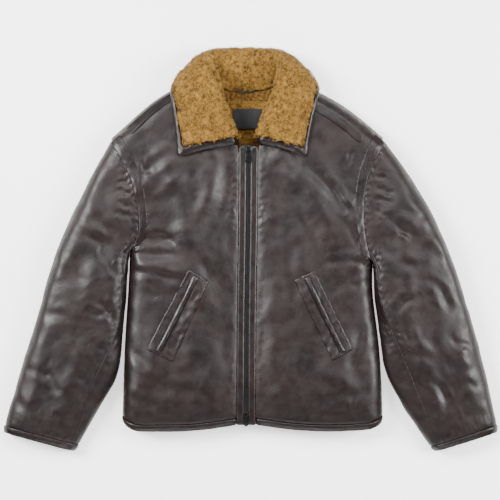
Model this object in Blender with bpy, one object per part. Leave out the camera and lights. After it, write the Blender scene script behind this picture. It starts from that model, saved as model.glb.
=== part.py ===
"""Shearling leather jacket laid out flat on its back, front up.

Sizes are in millimetres and become metres where a mesh is made. X runs across the jacket, Y from hem
to collar and Z up from the surface it lies on. Left and right are the wearer's, so right is at -X.
"""
import math

import bmesh
import bpy
import numpy as np
from mathutils import Vector
from mathutils.bvhtree import BVHTree

# Driving sizes
MM = 0.001
SEAM_GAP = 0.3          # clear gap between two pieces that touch
BODY_WALL = 8.5         # leather and wool of the fronts and the back
SLEEVE_WALL = 7.5
MID_HEIGHT = 29.0       # side seams and shoulder seams lie this high
CHEST_HEIGHT = 57.0     # outer face of the fronts above the ground
ROLL_RADIUS = 28.0      # roundness of the sides and the shoulders
NECK_LIFT = 13.5        # the back rises over the collar that is folded under it
BAND_WIDTH = 15.0       # hem and cuff bands
BAND_PROUD = 1.2        # how far a band stands out from its panel
BAND_GAP = 0.9          # clear gap beside a band, which stands out over a rounded corner
STRIP_LOW, STRIP_HIGH = 0.3, 1.9    # raised strips, measured from the panel they lie on
COLLAR_LEATHER = 2.0
COLLAR_CENTRE = -12.0   # X of the collar's middle
PLACKET_IN, PLACKET_OUT = 4.5, 18.5
PLACKET_THICK = 3.5
TAPE_THICK = 1.2
CHAIN_HALF, CHAIN_THICK = 3.0, 3.0
SIDES = {"right": -1.0, "left": 1.0}


def table(columns, *rows):
    """Column name to its values, one for each row."""
    return {name: np.array(values, float) for name, values in zip(columns.split(), zip(*rows))}


# Outline of the body
SIDE_LINE = table(
    "y right_x left_x",
    (-360, -257.5, 265.5), (-240, -254, 261.5), (-184, -252, 257), (-124, -248, 249),
    (-80, -245, 244), (-30, -242.5, 244.5), (0, -241, 246))
HEM_LINE = table(
    "x y",
    (-258, -343), (-255, -350), (-243, -359), (-186, -364.5), (-110, -363), (-52, -356), (-18, -351.5),
    (5, -351.5), (62, -359), (120, -364), (196, -363.5), (250, -357), (262, -350), (266, -343))
ZIP_LINE = table("y x", (-356, -9), (-100, -7.5), (60, -5), (208, -4))
ZIP_TOP, ZIP_BOTTOM = 207.0, -351.0
ARMHOLE = table(
    "share right_x left_x",
    (0, -279, 266), (0.04, -270.5, 258.7), (0.1, -260, 249.8), (0.28, -239, 231), (0.43, -229, 224),
    (0.6, -221.8, 223), (0.73, -219.5, 225.6), (0.85, -222, 230), (0.93, -231, 236.5), (1, -242, 245))
SHOULDER_TIP_Y = {"right": 221.0, "left": 222.0}
ARMPIT_Y = {"right": -8.0, "left": -32.0}
SHOULDER = table(
    "share right_x right_y left_x left_y",
    (0, -95, 344.5, 71, 344.5), (0.35, -160, 317, 139, 313), (0.58, -201, 290.5, 184, 288),
    (0.79, -240, 256, 225, 257), (1, -279, 221, 266, 222))

# Neckline and collar, from the front end at the zip round to the middle of the back.
# The tilt is the turn of the outer face: 0 looks up on the fronts, 180 looks down on the back.
NECKLINE = table(
    "right_x left_x y tilt",
    (-22.8, 14.8, 204, 0), (-40, 24, 222, 0), (-60, 39, 246, 0), (-77, 53, 274, 0), (-89, 65, 308, 3),
    (-93, 69, 326.5, 31), (-94.6, 70.6, 339.8, 62), (-95, 71, 344.5, 90), (-88, 64, 333, 150),
    (-68, 44, 322, 172), (-40, 16, 315.5, 180), (-12, -12, 314, 180))
COLLAR = {
    "right": table(
        "crest_x crest_y crest_z fall_x fall_y fall_z edge_x edge_y edge_z",
        (-33, 207, 66, -88, 198, 66, -143, 184, 60), (-40, 236, 72, -94, 228, 72, -146, 214, 61),
        (-50, 262, 76, -101, 256, 76, -150, 243, 61), (-60, 290, 78, -108, 285, 77, -154, 272, 60),
        (-68, 320, 78, -115, 314, 74, -159, 301, 57), (-73, 338, 77, -121, 331, 69, -160, 315, 47),
        (-77, 350, 75, -125, 342, 63, -159, 324, 36), (-82, 361, 71, -128, 353, 52, -155, 331, 22),
        (-88, 377, 60, -120, 364, 32, -138, 322, 10), (-76, 388, 42, -92, 366, 14, -104, 306, 8.6),
        (-46, 392, 28, -52, 364, 9.5, -58, 299, 8.4), (-12, 393, 24, -12, 362, 9, -12, 297, 8.4)),
    "left": table(
        "crest_x crest_y crest_z fall_x fall_y fall_z edge_x edge_y edge_z",
        (20, 209, 66, 66, 199, 66, 111, 183, 60), (24, 236, 72, 72, 228, 72, 115, 212, 61),
        (33, 262, 76, 80, 256, 76, 121, 242, 61), (46, 290, 78, 88, 285, 77, 127, 272, 60),
        (57, 320, 78, 95, 313, 74, 134, 298, 57), (61, 338, 77, 99, 331, 69, 137, 313, 47),
        (63, 350, 75, 103, 342, 63, 138, 323, 36), (64, 361, 71, 105, 353, 52, 134, 331, 22),
        (66, 377, 60, 96, 362, 32, 114, 320, 10), (53, 388, 42, 68, 365, 14, 80, 305, 8.6),
        (24, 392, 28, 29, 364, 9.5, 34, 299, 8.4), (-12, 393, 24, -12, 362, 9, -12, 297, 8.4)),
}
WOOL_DEPTH = table("along depth", (0, 8), (0.2, 12), (0.4, 14), (0.7, 12.5), (0.9, 8), (1, 5))
WOOL_PARTING = table("along gap", (0, 0.3), (0.1, 0.9), (0.25, 0.3), (1, 0.3))
EDGE_START = 0.94       # where the edge binding starts, along the collar from neck to edge
END_START = 0.5         # and from its front ends, in stations

# Sleeves: outer and inner edge of each section, from the armhole to the cuff. The seam is the share of
# the way across, from the outer edge, at which the top sleeve meets the under sleeve.
SLEEVE = {
    "right": table(
        "share outer_x outer_y inner_x inner_y height seam",
        (0, -279, 221, -242, -8, 57, 0.883), (0.151, -327, 134, -244, -60, 64, 0.94),
        (0.294, -372, 40, -249, -115, 66, 0.95), (0.457, -402, -40, -256, -180, 65, 0.93),
        (0.611, -426.5, -134, -261, -246, 62, 0.8), (0.75, -456, -224, -287, -296, 58, 0.8),
        (0.91, -481, -313, -322, -352, 54, 0.87), (1, -497, -365.5, -351, -405.5, 48, 0.93)),
    "left": table(
        "share outer_x outer_y inner_x inner_y height seam",
        (0, 266, 222, 245, -32, 57, 0.883), (0.151, 323, 144, 244, -78, 64, 0.94),
        (0.294, 368, 65, 251, -125, 66, 0.93), (0.457, 408, -30, 260, -190, 65, 0.85),
        (0.611, 438, -124, 266, -246, 62, 0.77), (0.75, 462, -209, 300, -309, 58, 0.79),
        (0.91, 485, -308, 338, -366, 54, 0.85), (1, 497, -365, 368, -406, 48, 0.93)),
}

# Largest folds, each a soft ridge from start to end, or a trough where its height is below zero
FOLDS = table(
    "x1 y1 x2 y2 width height",
    (-141, 184, -213, 128, 22, 4), (-133, 150, -131, 40, 24, 3), (-228, 12, -140, 6, 18, -5),
    (-226, -26, -130, -40, 20, 4), (-120, -30, -85, -60, 20, -3), (119, 160, 195, 58, 24, 4.5),
    (195, 58, 239, -72, 20, 4), (70, 120, 110, -20, 30, -3), (-90, -180, -70, -300, 30, 3),
    (150, -240, 215, -300, 30, 3), (-290, -128, -330, -150, 16, -4), (-395, -255, -440, -262, 14, -4),
    (-300, 110, -262, 60, 18, 4), (-275, 20, -330, -30, 24, -5), (304, 38, 262, 20, 20, -5),
    (379, -92, 330, -120, 16, -4), (334, -192, 400, -205, 16, 4), (419, -186, 450, -180, 14, -4),
    (374, -282, 420, -300, 14, -3), (270, 150, 300, 60, 20, 4))

# Pockets: the four corners of each patch, then the line of its welt
POCKETS = {
    "right": ((-122.4, -39.6), (-83.6, -62.6), (-155.2, -223.6), (-207, -198.8)),
    "left": ((127, -42.6), (87, -61), (163, -221), (204, -200)),
}
WELT_SHARE = {"right": 0.42, "left": 0.45}      # where the welt runs, from the outer to the inner side
WELT_HALF, WELT_RISE = 6.5, 5.0

# Hardware
SLIDER_HALF, SLIDER_LONG, SLIDER_THICK = 4.4, 9.5, 2.4
BRIDGE_HALF, BRIDGE_THICK, BRIDGE_REACH = 1.5, 1.1, 3.6
AXIS_RISE, AXIS_ROOM = 1.6, 1.5         # joint axis above the slider, and room round it
TAB_BAR, TAB_THICK = 1.6, 1.6
HARDWARE = table("y tab_long tab_half", (200, 29, 5.6), (-330.5, 24, 5))


# Curves

def smooth(at, knots, values):
    """Smooth curve through the values at the knots."""
    at = np.clip(np.asarray(at, float), knots[0], knots[-1])
    slope = np.gradient(values, knots)
    i = np.clip(np.searchsorted(knots, at, side="right") - 1, 0, len(knots) - 2)
    span = knots[i + 1] - knots[i]
    u = (at - knots[i]) / span
    start = (2 * u ** 3 - 3 * u ** 2 + 1) * values[i] + (u ** 3 - 2 * u ** 2 + u) * span * slope[i]
    end = (3 * u ** 2 - 2 * u ** 3) * values[i + 1] + (u ** 3 - u ** 2) * span * slope[i + 1]
    return start + end


def ease(value):
    """0 to 1 with flat ends."""
    value = np.clip(value, 0, 1)
    return value * value * (3 - 2 * value)


def roll(distance, radius):
    """Height share of a rounded edge at a distance in from its outline."""
    q = 1 - np.clip(distance / radius, 0, 1)
    return np.sqrt(np.clip(1 - q * q, 0, 1))


def roll_steps(count):
    """Distances in from an outline, in radii, evenly spread over its rounding; outline last."""
    return [1 - math.sin(math.pi / 2 * k / count) for k in range(count + 1)]


def side_x(side, y):
    return smooth(y, SIDE_LINE["y"], SIDE_LINE[side + "_x"])


def hem_y(x):
    return smooth(x, HEM_LINE["x"], HEM_LINE["y"])


def zip_x(y):
    return smooth(y, ZIP_LINE["y"], ZIP_LINE["x"])


def armhole_x(side, share):
    return smooth(share, ARMHOLE["share"], ARMHOLE[side + "_x"])


def shoulder_point(side, share):
    return tuple(smooth(share, SHOULDER["share"], SHOULDER[f"{side}_{axis}"]) for axis in "xy")


# Faces of the body

def fold_rise(x, y):
    """Rise of the upper face from its folds."""
    rise = np.zeros(np.shape(x))
    for x1, y1, x2, y2, width, height in zip(*FOLDS.values()):
        length = math.hypot(x2 - x1, y2 - y1)
        along = ((x - x1) * (x2 - x1) + (y - y1) * (y2 - y1)) / length ** 2
        across = ((x - x1) * (y2 - y1) - (y - y1) * (x2 - x1)) / length
        beyond = np.clip(np.abs(along - 0.5) - 0.5, 0, None) * length
        rise = rise + height * np.exp(-(across ** 2 + beyond ** 2) / width ** 2)
    return rise


def edge_share(side, x, y):
    """1 on the flat of the body, falling to 0 at its side and shoulder outlines."""
    out = SIDES[side]
    pit_y = ARMPIT_Y[side]
    above = np.clip(y - pit_y, 0, None)
    from_side = out * (side_x(side, np.minimum(y, pit_y)) - x) + above
    line_x, line_y = SHOULDER[side + "_x"], SHOULDER[side + "_y"]
    order = np.argsort(line_x)
    limit_y = smooth(x, line_x[order], line_y[order])
    inside = np.clip(out * (line_x[0] - x), 0, None)
    from_shoulder = (limit_y - y) * 0.78 + inside * 3
    return roll(from_side, ROLL_RADIUS) * roll(from_shoulder, ROLL_RADIUS)


def front_z(side, x, y):
    """Outer face of a front."""
    valley = 9.0 * np.exp(-((x - zip_x(y)) / 46.0) ** 2)
    near_hem = 7.0 * (1 - ease((y - hem_y(x)) / 90.0))
    top = CHEST_HEIGHT - valley - near_hem + fold_rise(x, y)
    return MID_HEIGHT + (top - MID_HEIGHT) * edge_share(side, x, y)


def back_z(x, y):
    """Outer face of the back, on the ground but for the neck, which lies on the folded collar."""
    lift = NECK_LIFT * ease((y - 225) / 62.0) * ease((168 - np.abs(x - COLLAR_CENTRE)) / 34.0)
    side_share = np.where(x < COLLAR_CENTRE, edge_share("right", x, y), edge_share("left", x, y))
    return MID_HEIGHT - (MID_HEIGHT - lift) * side_share


def neck_normal(side, station):
    """Direction of the outer face at a station of the neckline."""
    tilt = math.radians(NECKLINE["tilt"][station])
    across, along = SIDES[side] * 0.42, 0.91
    return np.array((across * math.sin(tilt), along * math.sin(tilt), math.cos(tilt)))


# Grids of points. A body grid has its rows up the body and its columns out from the zip

LOW_ROWS, MID_ROWS, ROLL_ROWS = 8, 8, 3
SHOULDER_SPAN = 36.0            # length up the body over which a front rounds to the shoulder seam
SHOULDER_SHARES = (0.12, 0.24, 0.34, 0.45, 0.56, 0.67, 0.76)
TIP_SHARE = 0.15                # share of the shoulder over the rounded side
HEM_CORNER_Y = -345.0
NECK_LAST = len(NECKLINE["y"]) - 1
NECK_POINT = 7                  # station where the shoulder seam meets the neckline
PIT_ROW = LOW_ROWS
SLEEVE_STEPS = (0, 0.012, 0.04, 0.1, 0.17, 0.25, 0.34, 0.43, 0.52, 0.61, 0.7, 0.79, 0.88, 0.976)
CUFF_STEPS = (0.976, 0.99, 1)
PIT_SPREAD = 12.0               # how far the sleeve's lines part from the body near the armpit
UNDER_DROP = 6.0                # the under sleeve lies this much lower beside its seam


def row_heights(side):
    """Y of each row at the side: band top, armpit, then the armhole up to the shoulder tip."""
    start, pit, tip = HEM_CORNER_Y + BAND_WIDTH, ARMPIT_Y[side], SHOULDER_TIP_Y[side]
    low = list(np.linspace(start, pit, LOW_ROWS + 1))
    above_pit = [pit + ROLL_RADIUS * step for step in reversed(roll_steps(ROLL_ROWS)[:-1])]
    below_tip = [tip - SHOULDER_SPAN * step for step in roll_steps(ROLL_ROWS)]
    middle = list(np.linspace(above_pit[-1], below_tip[0], MID_ROWS + 1))[1:-1]
    return np.array(low + above_pit + middle + below_tip)


def body_edge_x(side, y):
    """X of the body's edge: its side below the armpit, and the armhole above it."""
    share = (SHOULDER_TIP_Y[side] - y) / (SHOULDER_TIP_Y[side] - ARMPIT_Y[side])
    return np.where(share > 1, side_x(side, y), armhole_x(side, np.clip(share, 0, 1)))


def side_points(side):
    """X and Y of the body's edge at each row."""
    y = row_heights(side)
    return body_edge_x(side, y), y


def top_points(side, first_station):
    """Top ends of the columns from a neckline station out to the shoulder tip."""
    neck = [(NECKLINE[side + "_x"][k], NECKLINE["y"][k]) for k in range(first_station, NECK_POINT + 1)]
    shares = list(SHOULDER_SHARES) + [1 - TIP_SHARE * step for step in roll_steps(ROLL_ROWS)]
    return neck + [shoulder_point(side, share) for share in shares]


def hem_points(side, inner_x, count):
    """Lower ends of the columns, from an inner place out to the side."""
    edge_x = float(side_x(side, HEM_CORNER_Y))
    flat_x = np.linspace(inner_x, edge_x - SIDES[side] * ROLL_RADIUS, count - ROLL_ROWS)
    rolled_x = [edge_x - SIDES[side] * ROLL_RADIUS * step for step in roll_steps(ROLL_ROWS)[1:]]
    xs = list(flat_x) + rolled_x
    return [(x, float(hem_y(x))) for x in xs[:-1]] + [(edge_x, HEM_CORNER_Y)]


def with_height(plan, z):
    return np.dstack([plan, z])


def between(left, right, low, top):
    """Plan of a patch from its four border lines, by blending them across and up."""
    rows, columns = len(left), len(low)
    across = np.linalg.norm(np.diff(low, axis=0), axis=1).cumsum()
    s = np.append(0, across / across[-1])[None, :, None]
    up = np.linalg.norm(np.diff(right, axis=0), axis=1).cumsum()
    t = np.append(0, up / up[-1])[:, None, None]
    sides = (1 - s) * left[:, None] + s * right[:, None]
    ends = (1 - t) * low[None] + t * top[None]
    corners = (1 - s) * (1 - t) * low[0] + s * (1 - t) * low[-1] + (1 - s) * t * top[0] + s * t * top[-1]
    return (sides + ends - corners).reshape(rows, columns, 2)


def front_grids(side):
    """Hem band rows and panel rows of a front, columns from the zip out to the side."""
    out = SIDES[side]
    top = np.array(top_points(side, NECK_POINT))
    hem_low = np.array(hem_points(side, ZIP_LINE["x"][0] + out * (PLACKET_OUT + SEAM_GAP), len(top)))
    start = hem_low + (0, BAND_WIDTH)
    edge = np.column_stack(side_points(side))
    first_neck = len(edge) - 1 - NECK_POINT
    share = (edge[:first_neck + 1, 1] - edge[0, 1]) / (edge[first_neck, 1] - edge[0, 1])
    neck = np.column_stack([NECKLINE[side + "_x"], NECKLINE["y"]])[:NECK_POINT + 1]
    zip_y = start[0, 1] + share * (neck[0, 1] - start[0, 1])
    zip_edge = np.column_stack([zip_x(zip_y) + out * (PLACKET_OUT + SEAM_GAP), zip_y])
    plan = between(np.concatenate([zip_edge[:-1], neck]), edge, start, top)
    z = front_z(side, plan[..., 0], plan[..., 1])
    z[:PIT_ROW + 1, -1] = MID_HEIGHT
    z[-1] = MID_HEIGHT
    hem = np.stack([hem_low, hem_low + (0, BAND_WIDTH / 2)])
    hem_z = front_z(side, hem[..., 0], hem[..., 1])
    hem_z[:, -1] = MID_HEIGHT
    return with_height(hem, hem_z), with_height(plan, z)


def back_grids():
    """Hem band rows and panel rows of the back, columns from the wearer's right to the left."""
    right_top, left_top = top_points("right", NECK_POINT), top_points("left", NECK_POINT)
    neck = [(NECKLINE["right_x"][k], NECKLINE["y"][k]) for k in range(NECK_POINT + 1, NECK_LAST + 1)]
    neck += [(NECKLINE["left_x"][k], NECKLINE["y"][k]) for k in range(NECK_LAST - 1, NECK_POINT, -1)]
    top = right_top[::-1] + neck + left_top
    half = len(top) // 2 + 1
    bottom = hem_points("right", COLLAR_CENTRE, half)[::-1] + hem_points("left", COLLAR_CENTRE, half)[1:]
    edges = {side: np.column_stack(side_points(side)) for side in SIDES}
    rows = {side: (e[:, 1] - e[0, 1]) / (e[-1, 1] - e[0, 1]) for side, e in edges.items()}
    across = np.linspace(0, 1, len(top) - 2 * ROLL_ROWS)
    leftward = np.concatenate([np.zeros(ROLL_ROWS), across ** 2, np.ones(ROLL_ROWS)])
    rightward = np.concatenate([np.ones(ROLL_ROWS), (1 - across) ** 2, np.zeros(ROLL_ROWS)])
    turn = np.linspace(0, 1, len(top))
    shares = rows["right"][:, None] * (1 - turn) + rows["left"][:, None] * turn
    bottom, top = np.array(bottom), np.array(top)
    start = bottom + (0, BAND_WIDTH)
    plan = start + shares[..., None] * (top - start)
    right_pull, left_pull = edges["right"] - plan[:, 0], edges["left"] - plan[:, -1]
    plan = plan + right_pull[:, None, :] * rightward[None, :, None]
    plan = plan + left_pull[:, None, :] * leftward[None, :, None]
    hem = np.stack([bottom, bottom + (0, BAND_WIDTH / 2)])
    z = back_z(plan[..., 0], plan[..., 1])
    z[:PIT_ROW + 1, [0, -1]] = MID_HEIGHT
    shoulder = len(right_top)
    z[-1, :shoulder] = MID_HEIGHT
    z[-1, -shoulder:] = MID_HEIGHT
    hem_z = back_z(hem[..., 0], hem[..., 1])
    hem_z[:, [0, -1]] = MID_HEIGHT
    return with_height(hem, hem_z), with_height(plan, z)


def sleeve_grid(side, steps, front_ring, back_ring):
    """Rings of a sleeve. Columns start at the outer edge, cross the upper face and return below."""
    out = SIDES[side]
    rows = SLEEVE[side]
    ring_share = (front_ring[0, 1] - front_ring[:, 1]) / (front_ring[0, 1] - front_ring[-1, 1])
    outer_roll, inner_roll = ring_share[ROLL_ROWS], 1 - ring_share[-1 - ROLL_ROWS]
    seam_share = ring_share[-1 - ROLL_ROWS]
    grid = []
    for step in steps:
        at = {name: float(smooth(step, rows["share"], values)) for name, values in rows.items()}
        outer = np.array((at["outer_x"], at["outer_y"]))
        clear = 0.3 + 1.9 * ease(step / 0.06)
        inner_x = max(out * at["inner_x"], out * float(side_x(side, at["inner_y"])) + clear)
        inner = np.array((out * inner_x, at["inner_y"]))
        seam = seam_share + (at["seam"] - seam_share) * ease(step / 0.12)
        share = np.where(ring_share < seam_share, ring_share * seam / seam_share,
                         1 - (1 - ring_share) * (1 - seam) / (1 - seam_share))
        straight = outer + share[:, None] * (inner - outer)
        first = front_ring[0, :2] + ring_share[:, None] * (front_ring[-1, :2] - front_ring[0, :2])
        reach = 0.30 * (1 - ring_share ** 2) + 0.05
        keep = 1 - ease(step / reach)
        plan = straight + keep[:, None] * (front_ring[:, :2] - first)
        if step > 0:
            parting = ease((1 - ring_share) / 0.16) * ease((ring_share - 0.4) / 0.35) * ease(step / 0.06)
            parting = parting * (1 - ease((ARMPIT_Y[side] - plan[:, 1]) / 70))
            limit = out * body_edge_x(side, plan[:, 1]) + clear + PIT_SPREAD * parting
            near_pit = ring_share > 0.4
            plan[:, 0] = np.where(near_pit, out * np.maximum(out * plan[:, 0], limit), plan[:, 0])
        crown = roll(share, outer_roll) * roll(1 - share, inner_roll)
        dome = 5.0 * (1 - (2 * share - 1) ** 2)
        drop = UNDER_DROP * ease((share - seam) / 0.03 + 0.5) * ease(step / 0.3)
        top = at["height"] - 5.0 + dome - drop + fold_rise(plan[:, 0], plan[:, 1])
        upper_z = MID_HEIGHT + (top - MID_HEIGHT) * crown
        lower_z = MID_HEIGHT * (1 - crown)
        middle = MID_HEIGHT - (MID_HEIGHT - at["height"] * 0.5) * ease(step / 0.5)
        upper_z = upper_z + (middle - MID_HEIGHT) * (1 - crown)
        lower_z = lower_z * middle / MID_HEIGHT
        hold = 1 - ease(step / 0.2)
        upper = np.column_stack([plan, upper_z + hold * (front_ring[:, 2] - upper_z)])
        lower = np.column_stack([plan, lower_z + hold * (back_ring[:, 2] - lower_z)])
        grid.append(np.concatenate([upper, lower[-2:0:-1]]))
    return np.array(grid)


def collar_controls():
    """Control points of the collar's middle face at each station: neck, stand, crest, fall and edge,
    with one more where the stand starts and one to each side of the crest."""
    rows = []
    order = [("right", k) for k in range(NECK_LAST + 1)] + [("left", k) for k in range(NECK_LAST - 1, -1, -1)]
    for side, k in order:
        x, y = NECKLINE[side + "_x"][k], NECKLINE["y"][k]
        outer = front_z(side, x, y) if k < NECK_POINT else back_z(x, y)
        z = MID_HEIGHT if k == NECK_POINT else float(outer)
        seam = np.array((x, y, z))
        neck = seam - COLLAR_LEATHER * neck_normal(side, k)
        parts = COLLAR[side]
        crest, fall, edge = (np.array([parts[f"{name}_{axis}"][k] for axis in "xyz"])
                             for name in ("crest", "fall", "edge"))
        rows.append((neck, neck, neck, crest, crest, crest, fall, edge))
    rows = np.array(rows)
    line = rows[:, 0]
    along = unit(np.gradient(line, axis=0))
    outer = np.array([neck_normal(side, k) for side, k in order])
    rows[:, 1] = line + unit(np.cross(along, outer)) * STAND_START
    rows[:, 2] = rows[:, 1] + 0.5 * (rows[:, 4] - rows[:, 1]) + (0, 0, 1.0)
    rising, falling = unit(rows[:, 4] - rows[:, 2]), unit(rows[:, 6] - rows[:, 4])
    inward = unit(falling - rising)
    across = unit(falling + rising)
    rows[:, 3] = rows[:, 4] + inward * FOLD_ROUND * 0.6 - across * FOLD_ROUND
    rows[:, 5] = rows[:, 4] + inward * FOLD_ROUND * 0.6 + across * FOLD_ROUND
    return rows


STAND_START = 6.0               # the stand leaves the neckline in line with the panel for this far
FOLD_ROUND = 6.5                # half the width of the rounded fold along the collar's crest
COLLAR_KNOTS = np.array((0, 0.09, 0.24, 0.37, 0.42, 0.47, 0.68, 1.0))
COLLAR_STATIONS = 2 * NECK_LAST
FALL_CLEAR = 4.8                # middle face of the fall to the panel it lies on
FALL_LIMIT_Y = 352.0            # above this the collar stands clear of the body


def collar_face(stations, alongs):
    """Middle face of the collar, where leather and wool meet: rows are stations, columns neck to edge."""
    controls = collar_controls()
    knots = np.arange(len(controls), dtype=float)
    face = np.zeros((len(stations), len(alongs), 3))
    for row, station in enumerate(stations):
        for axis in range(3):
            values = [float(smooth(station, knots, controls[:, k, axis])) for k in range(len(COLLAR_KNOTS))]
            values[0] = float(np.interp(station, knots, controls[:, 0, axis]))
            face[row, :, axis] = smooth(alongs, COLLAR_KNOTS, np.array(values))
    return settle_fall(face, alongs)


def settle_fall(face, alongs):
    """Keeps the turned-down part of the collar over the fronts and under the back."""
    side_share = np.where(face[..., 0] < COLLAR_CENTRE, edge_share("right", face[..., 0], face[..., 1]),
                          edge_share("left", face[..., 0], face[..., 1]))
    x, y, z = face[..., 0], face[..., 1], face[..., 2]
    front = np.where(x < COLLAR_CENTRE, front_z("right", x, y), front_z("left", x, y))
    turned = (side_share > 0) & (np.asarray(alongs) > 0.6)[None, :] & (y < FALL_LIMIT_Y)
    upper = turned & (z > MID_HEIGHT)
    lower = turned & (z <= MID_HEIGHT)
    face[..., 2] = np.where(upper, np.maximum(z, front + FALL_CLEAR), face[..., 2])
    face[..., 2] = np.where(lower, np.minimum(z, back_z(x, y) - FALL_CLEAR), face[..., 2])
    return face


def neck_normals(stations):
    """Outer directions at stations of the neckline, over both halves."""
    order = [("right", k) for k in range(NECK_LAST + 1)] + [("left", k) for k in range(NECK_LAST - 1, -1, -1)]
    known = np.array([neck_normal(side, k) for side, k in order])
    knots = np.arange(len(known), dtype=float)
    found = np.column_stack([np.interp(stations, knots, known[:, axis]) for axis in range(3)])
    return unit(found)


# Directions and solids

def normals(grid, wrap=False):
    """Direction of the face at each point of a grid: row direction crossed with column direction."""
    down = np.gradient(grid, axis=0)
    if wrap:
        across = (np.roll(grid, -1, axis=1) - np.roll(grid, 1, axis=1)) / 2
    else:
        across = np.gradient(grid, axis=1)
    found = np.cross(down, across)
    return found / np.maximum(np.linalg.norm(found, axis=2, keepdims=True), 1e-9)


def softened(found, times=2):
    """Directions averaged with their neighbours inside a grid, so that a wall has no pinched inner face."""
    found = found.copy()
    for _ in range(times):
        beside = found[:-2, 1:-1] + found[2:, 1:-1] + found[1:-1, :-2] + found[1:-1, 2:]
        found[1:-1, 1:-1] = unit(found[1:-1, 1:-1] * 2 + beside)
    return found


def unit(vectors):
    return vectors / np.maximum(np.linalg.norm(vectors, axis=-1, keepdims=True), 1e-9)


def flatten_along(vectors, direction):
    """The part of each vector square to a direction, at unit length."""
    direction = unit(np.asarray(direction, float))
    return unit(vectors - (vectors * direction).sum(axis=-1, keepdims=True) * direction)


def border_pull(grid, edges, distance):
    """Shift of each point that takes the border rows or columns in towards their neighbours."""
    shift = np.zeros(grid.shape)
    pairs = {"first_row": (np.s_[0], np.s_[1]), "last_row": (np.s_[-1], np.s_[-2]),
             "first_column": (np.s_[:, 0], np.s_[:, 1]), "last_column": (np.s_[:, -1], np.s_[:, -2])}
    for edge in edges:
        border, neighbour = pairs[edge]
        shift[border] += unit(grid[neighbour] - grid[border]) * distance
    return shift


ALL_EDGES = ("first_row", "last_row", "first_column", "last_column")


def make_object(name, points, faces, material):
    """A named object from points in millimetres, with its faces turned outwards."""
    mesh = bpy.data.meshes.new(name)
    mesh.from_pydata([Vector(p) * MM for p in points], [], faces)
    work = bmesh.new()
    work.from_mesh(mesh)
    bmesh.ops.recalc_face_normals(work, faces=work.faces)
    if work.calc_volume(signed=True) < 0:
        bmesh.ops.reverse_faces(work, faces=work.faces)
    work.to_mesh(mesh)
    work.free()
    mesh.shade_smooth()
    mesh.set_sharp_from_angle(angle=math.radians(40))
    mesh.materials.append(MATERIALS[material]())
    thing = bpy.data.objects.new(name, mesh)
    bpy.context.scene.collection.objects.link(thing)
    return thing


def folded_over(layer, directions, wrap):
    """Marks the four-sided cells of a layer that would fold over if split from their first corner."""
    def corners(points):
        beside = np.roll(points, -1, axis=1)
        if not wrap:
            points, beside = points[:, :-1], beside[:, :-1]
        return points[:-1], beside[:-1], beside[1:], points[1:]

    facing = sum(corners(directions))
    a, b, c, d = corners(layer)
    size = [(np.cross(q - p, r - p) * facing).sum(axis=-1)
            for p, q, r in ((a, b, c), (a, c, d), (a, b, d), (b, c, d))]
    size = np.sign(size[0].sum()) * np.array(size)
    first, second = size[:2].min(axis=0), size[2:].min(axis=0)
    return first < np.minimum(0, second)


def slab(name, grid, directions, high, low, material, edges=ALL_EDGES, wrap=False, floor=False,
         gap=SEAM_GAP):
    """A closed wall over a grid, from low to high along the directions."""
    high = np.broadcast_to(np.asarray(high, float), grid.shape[:2])[..., None]
    low = np.broadcast_to(np.asarray(low, float), grid.shape[:2])[..., None]
    grid = grid + border_pull(grid, edges, gap / 2)
    upper = grid + directions * high
    lower = grid + directions * low
    if floor:
        upper[..., 2] = np.maximum(upper[..., 2], 0)
        lower[..., 2] = np.maximum(lower[..., 2], 0)
    rows, columns = grid.shape[:2]
    points = np.concatenate([upper.reshape(-1, 3), lower.reshape(-1, 3)])
    layer = rows * columns
    spans = columns if wrap else columns - 1
    faces = []

    def wall(p, q, inward):
        """Two triangles between border points p and q, split to stay clear of the next piece."""
        first = points[p] + points[layer + q] - points[q] - points[layer + p]
        square = np.cross(points[q] - points[p], points[layer + p] - points[p])
        if np.dot(first, square) * np.dot(square, points[inward] - points[p]) > 0:
            faces.extend([(p, q, layer + q), (p, layer + q, layer + p)])
        else:
            faces.extend([(p, q, layer + p), (q, layer + q, layer + p)])

    directions = np.broadcast_to(directions, grid.shape)
    for start, face in ((0, upper), (layer, lower)):
        turned = folded_over(face, directions, wrap)
        for i in range(rows - 1):
            for j in range(spans):
                k = (j + 1) % columns
                corners = [i * columns + j, i * columns + k, (i + 1) * columns + k, (i + 1) * columns + j]
                first = 1 if turned[i, j] else 0
                a, b, c, d = (start + corners[(first + step) % 4] for step in range(4))
                faces += [(a, b, c), (a, c, d)]
    for j in range(spans):
        k = (j + 1) % columns
        last = (rows - 1) * columns
        wall(j, k, columns + j)
        wall(last + j, last + k, last - columns + j)
    if not wrap:
        for i in range(rows - 1):
            a, d = i * columns, (i + 1) * columns
            wall(a, d, a + 1)
            wall(a + columns - 1, d + columns - 1, a + columns - 2)
    return make_object(name, points, faces, material)


# Materials

def principled(name, colour, roughness, metallic=0.0, sheen=0.0):
    """A material with one Principled shader, made once."""
    material = bpy.data.materials.get(name)
    if material is None:
        material = bpy.data.materials.new(name)
        material.use_nodes = True
        shader = material.node_tree.nodes["Principled BSDF"]
        shader.inputs["Base Color"].default_value = (*colour, 1)
        shader.inputs["Roughness"].default_value = roughness
        shader.inputs["Metallic"].default_value = metallic
        shader.inputs["Sheen Weight"].default_value = sheen
        material.diffuse_color = (*colour, 1)
    return material


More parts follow.
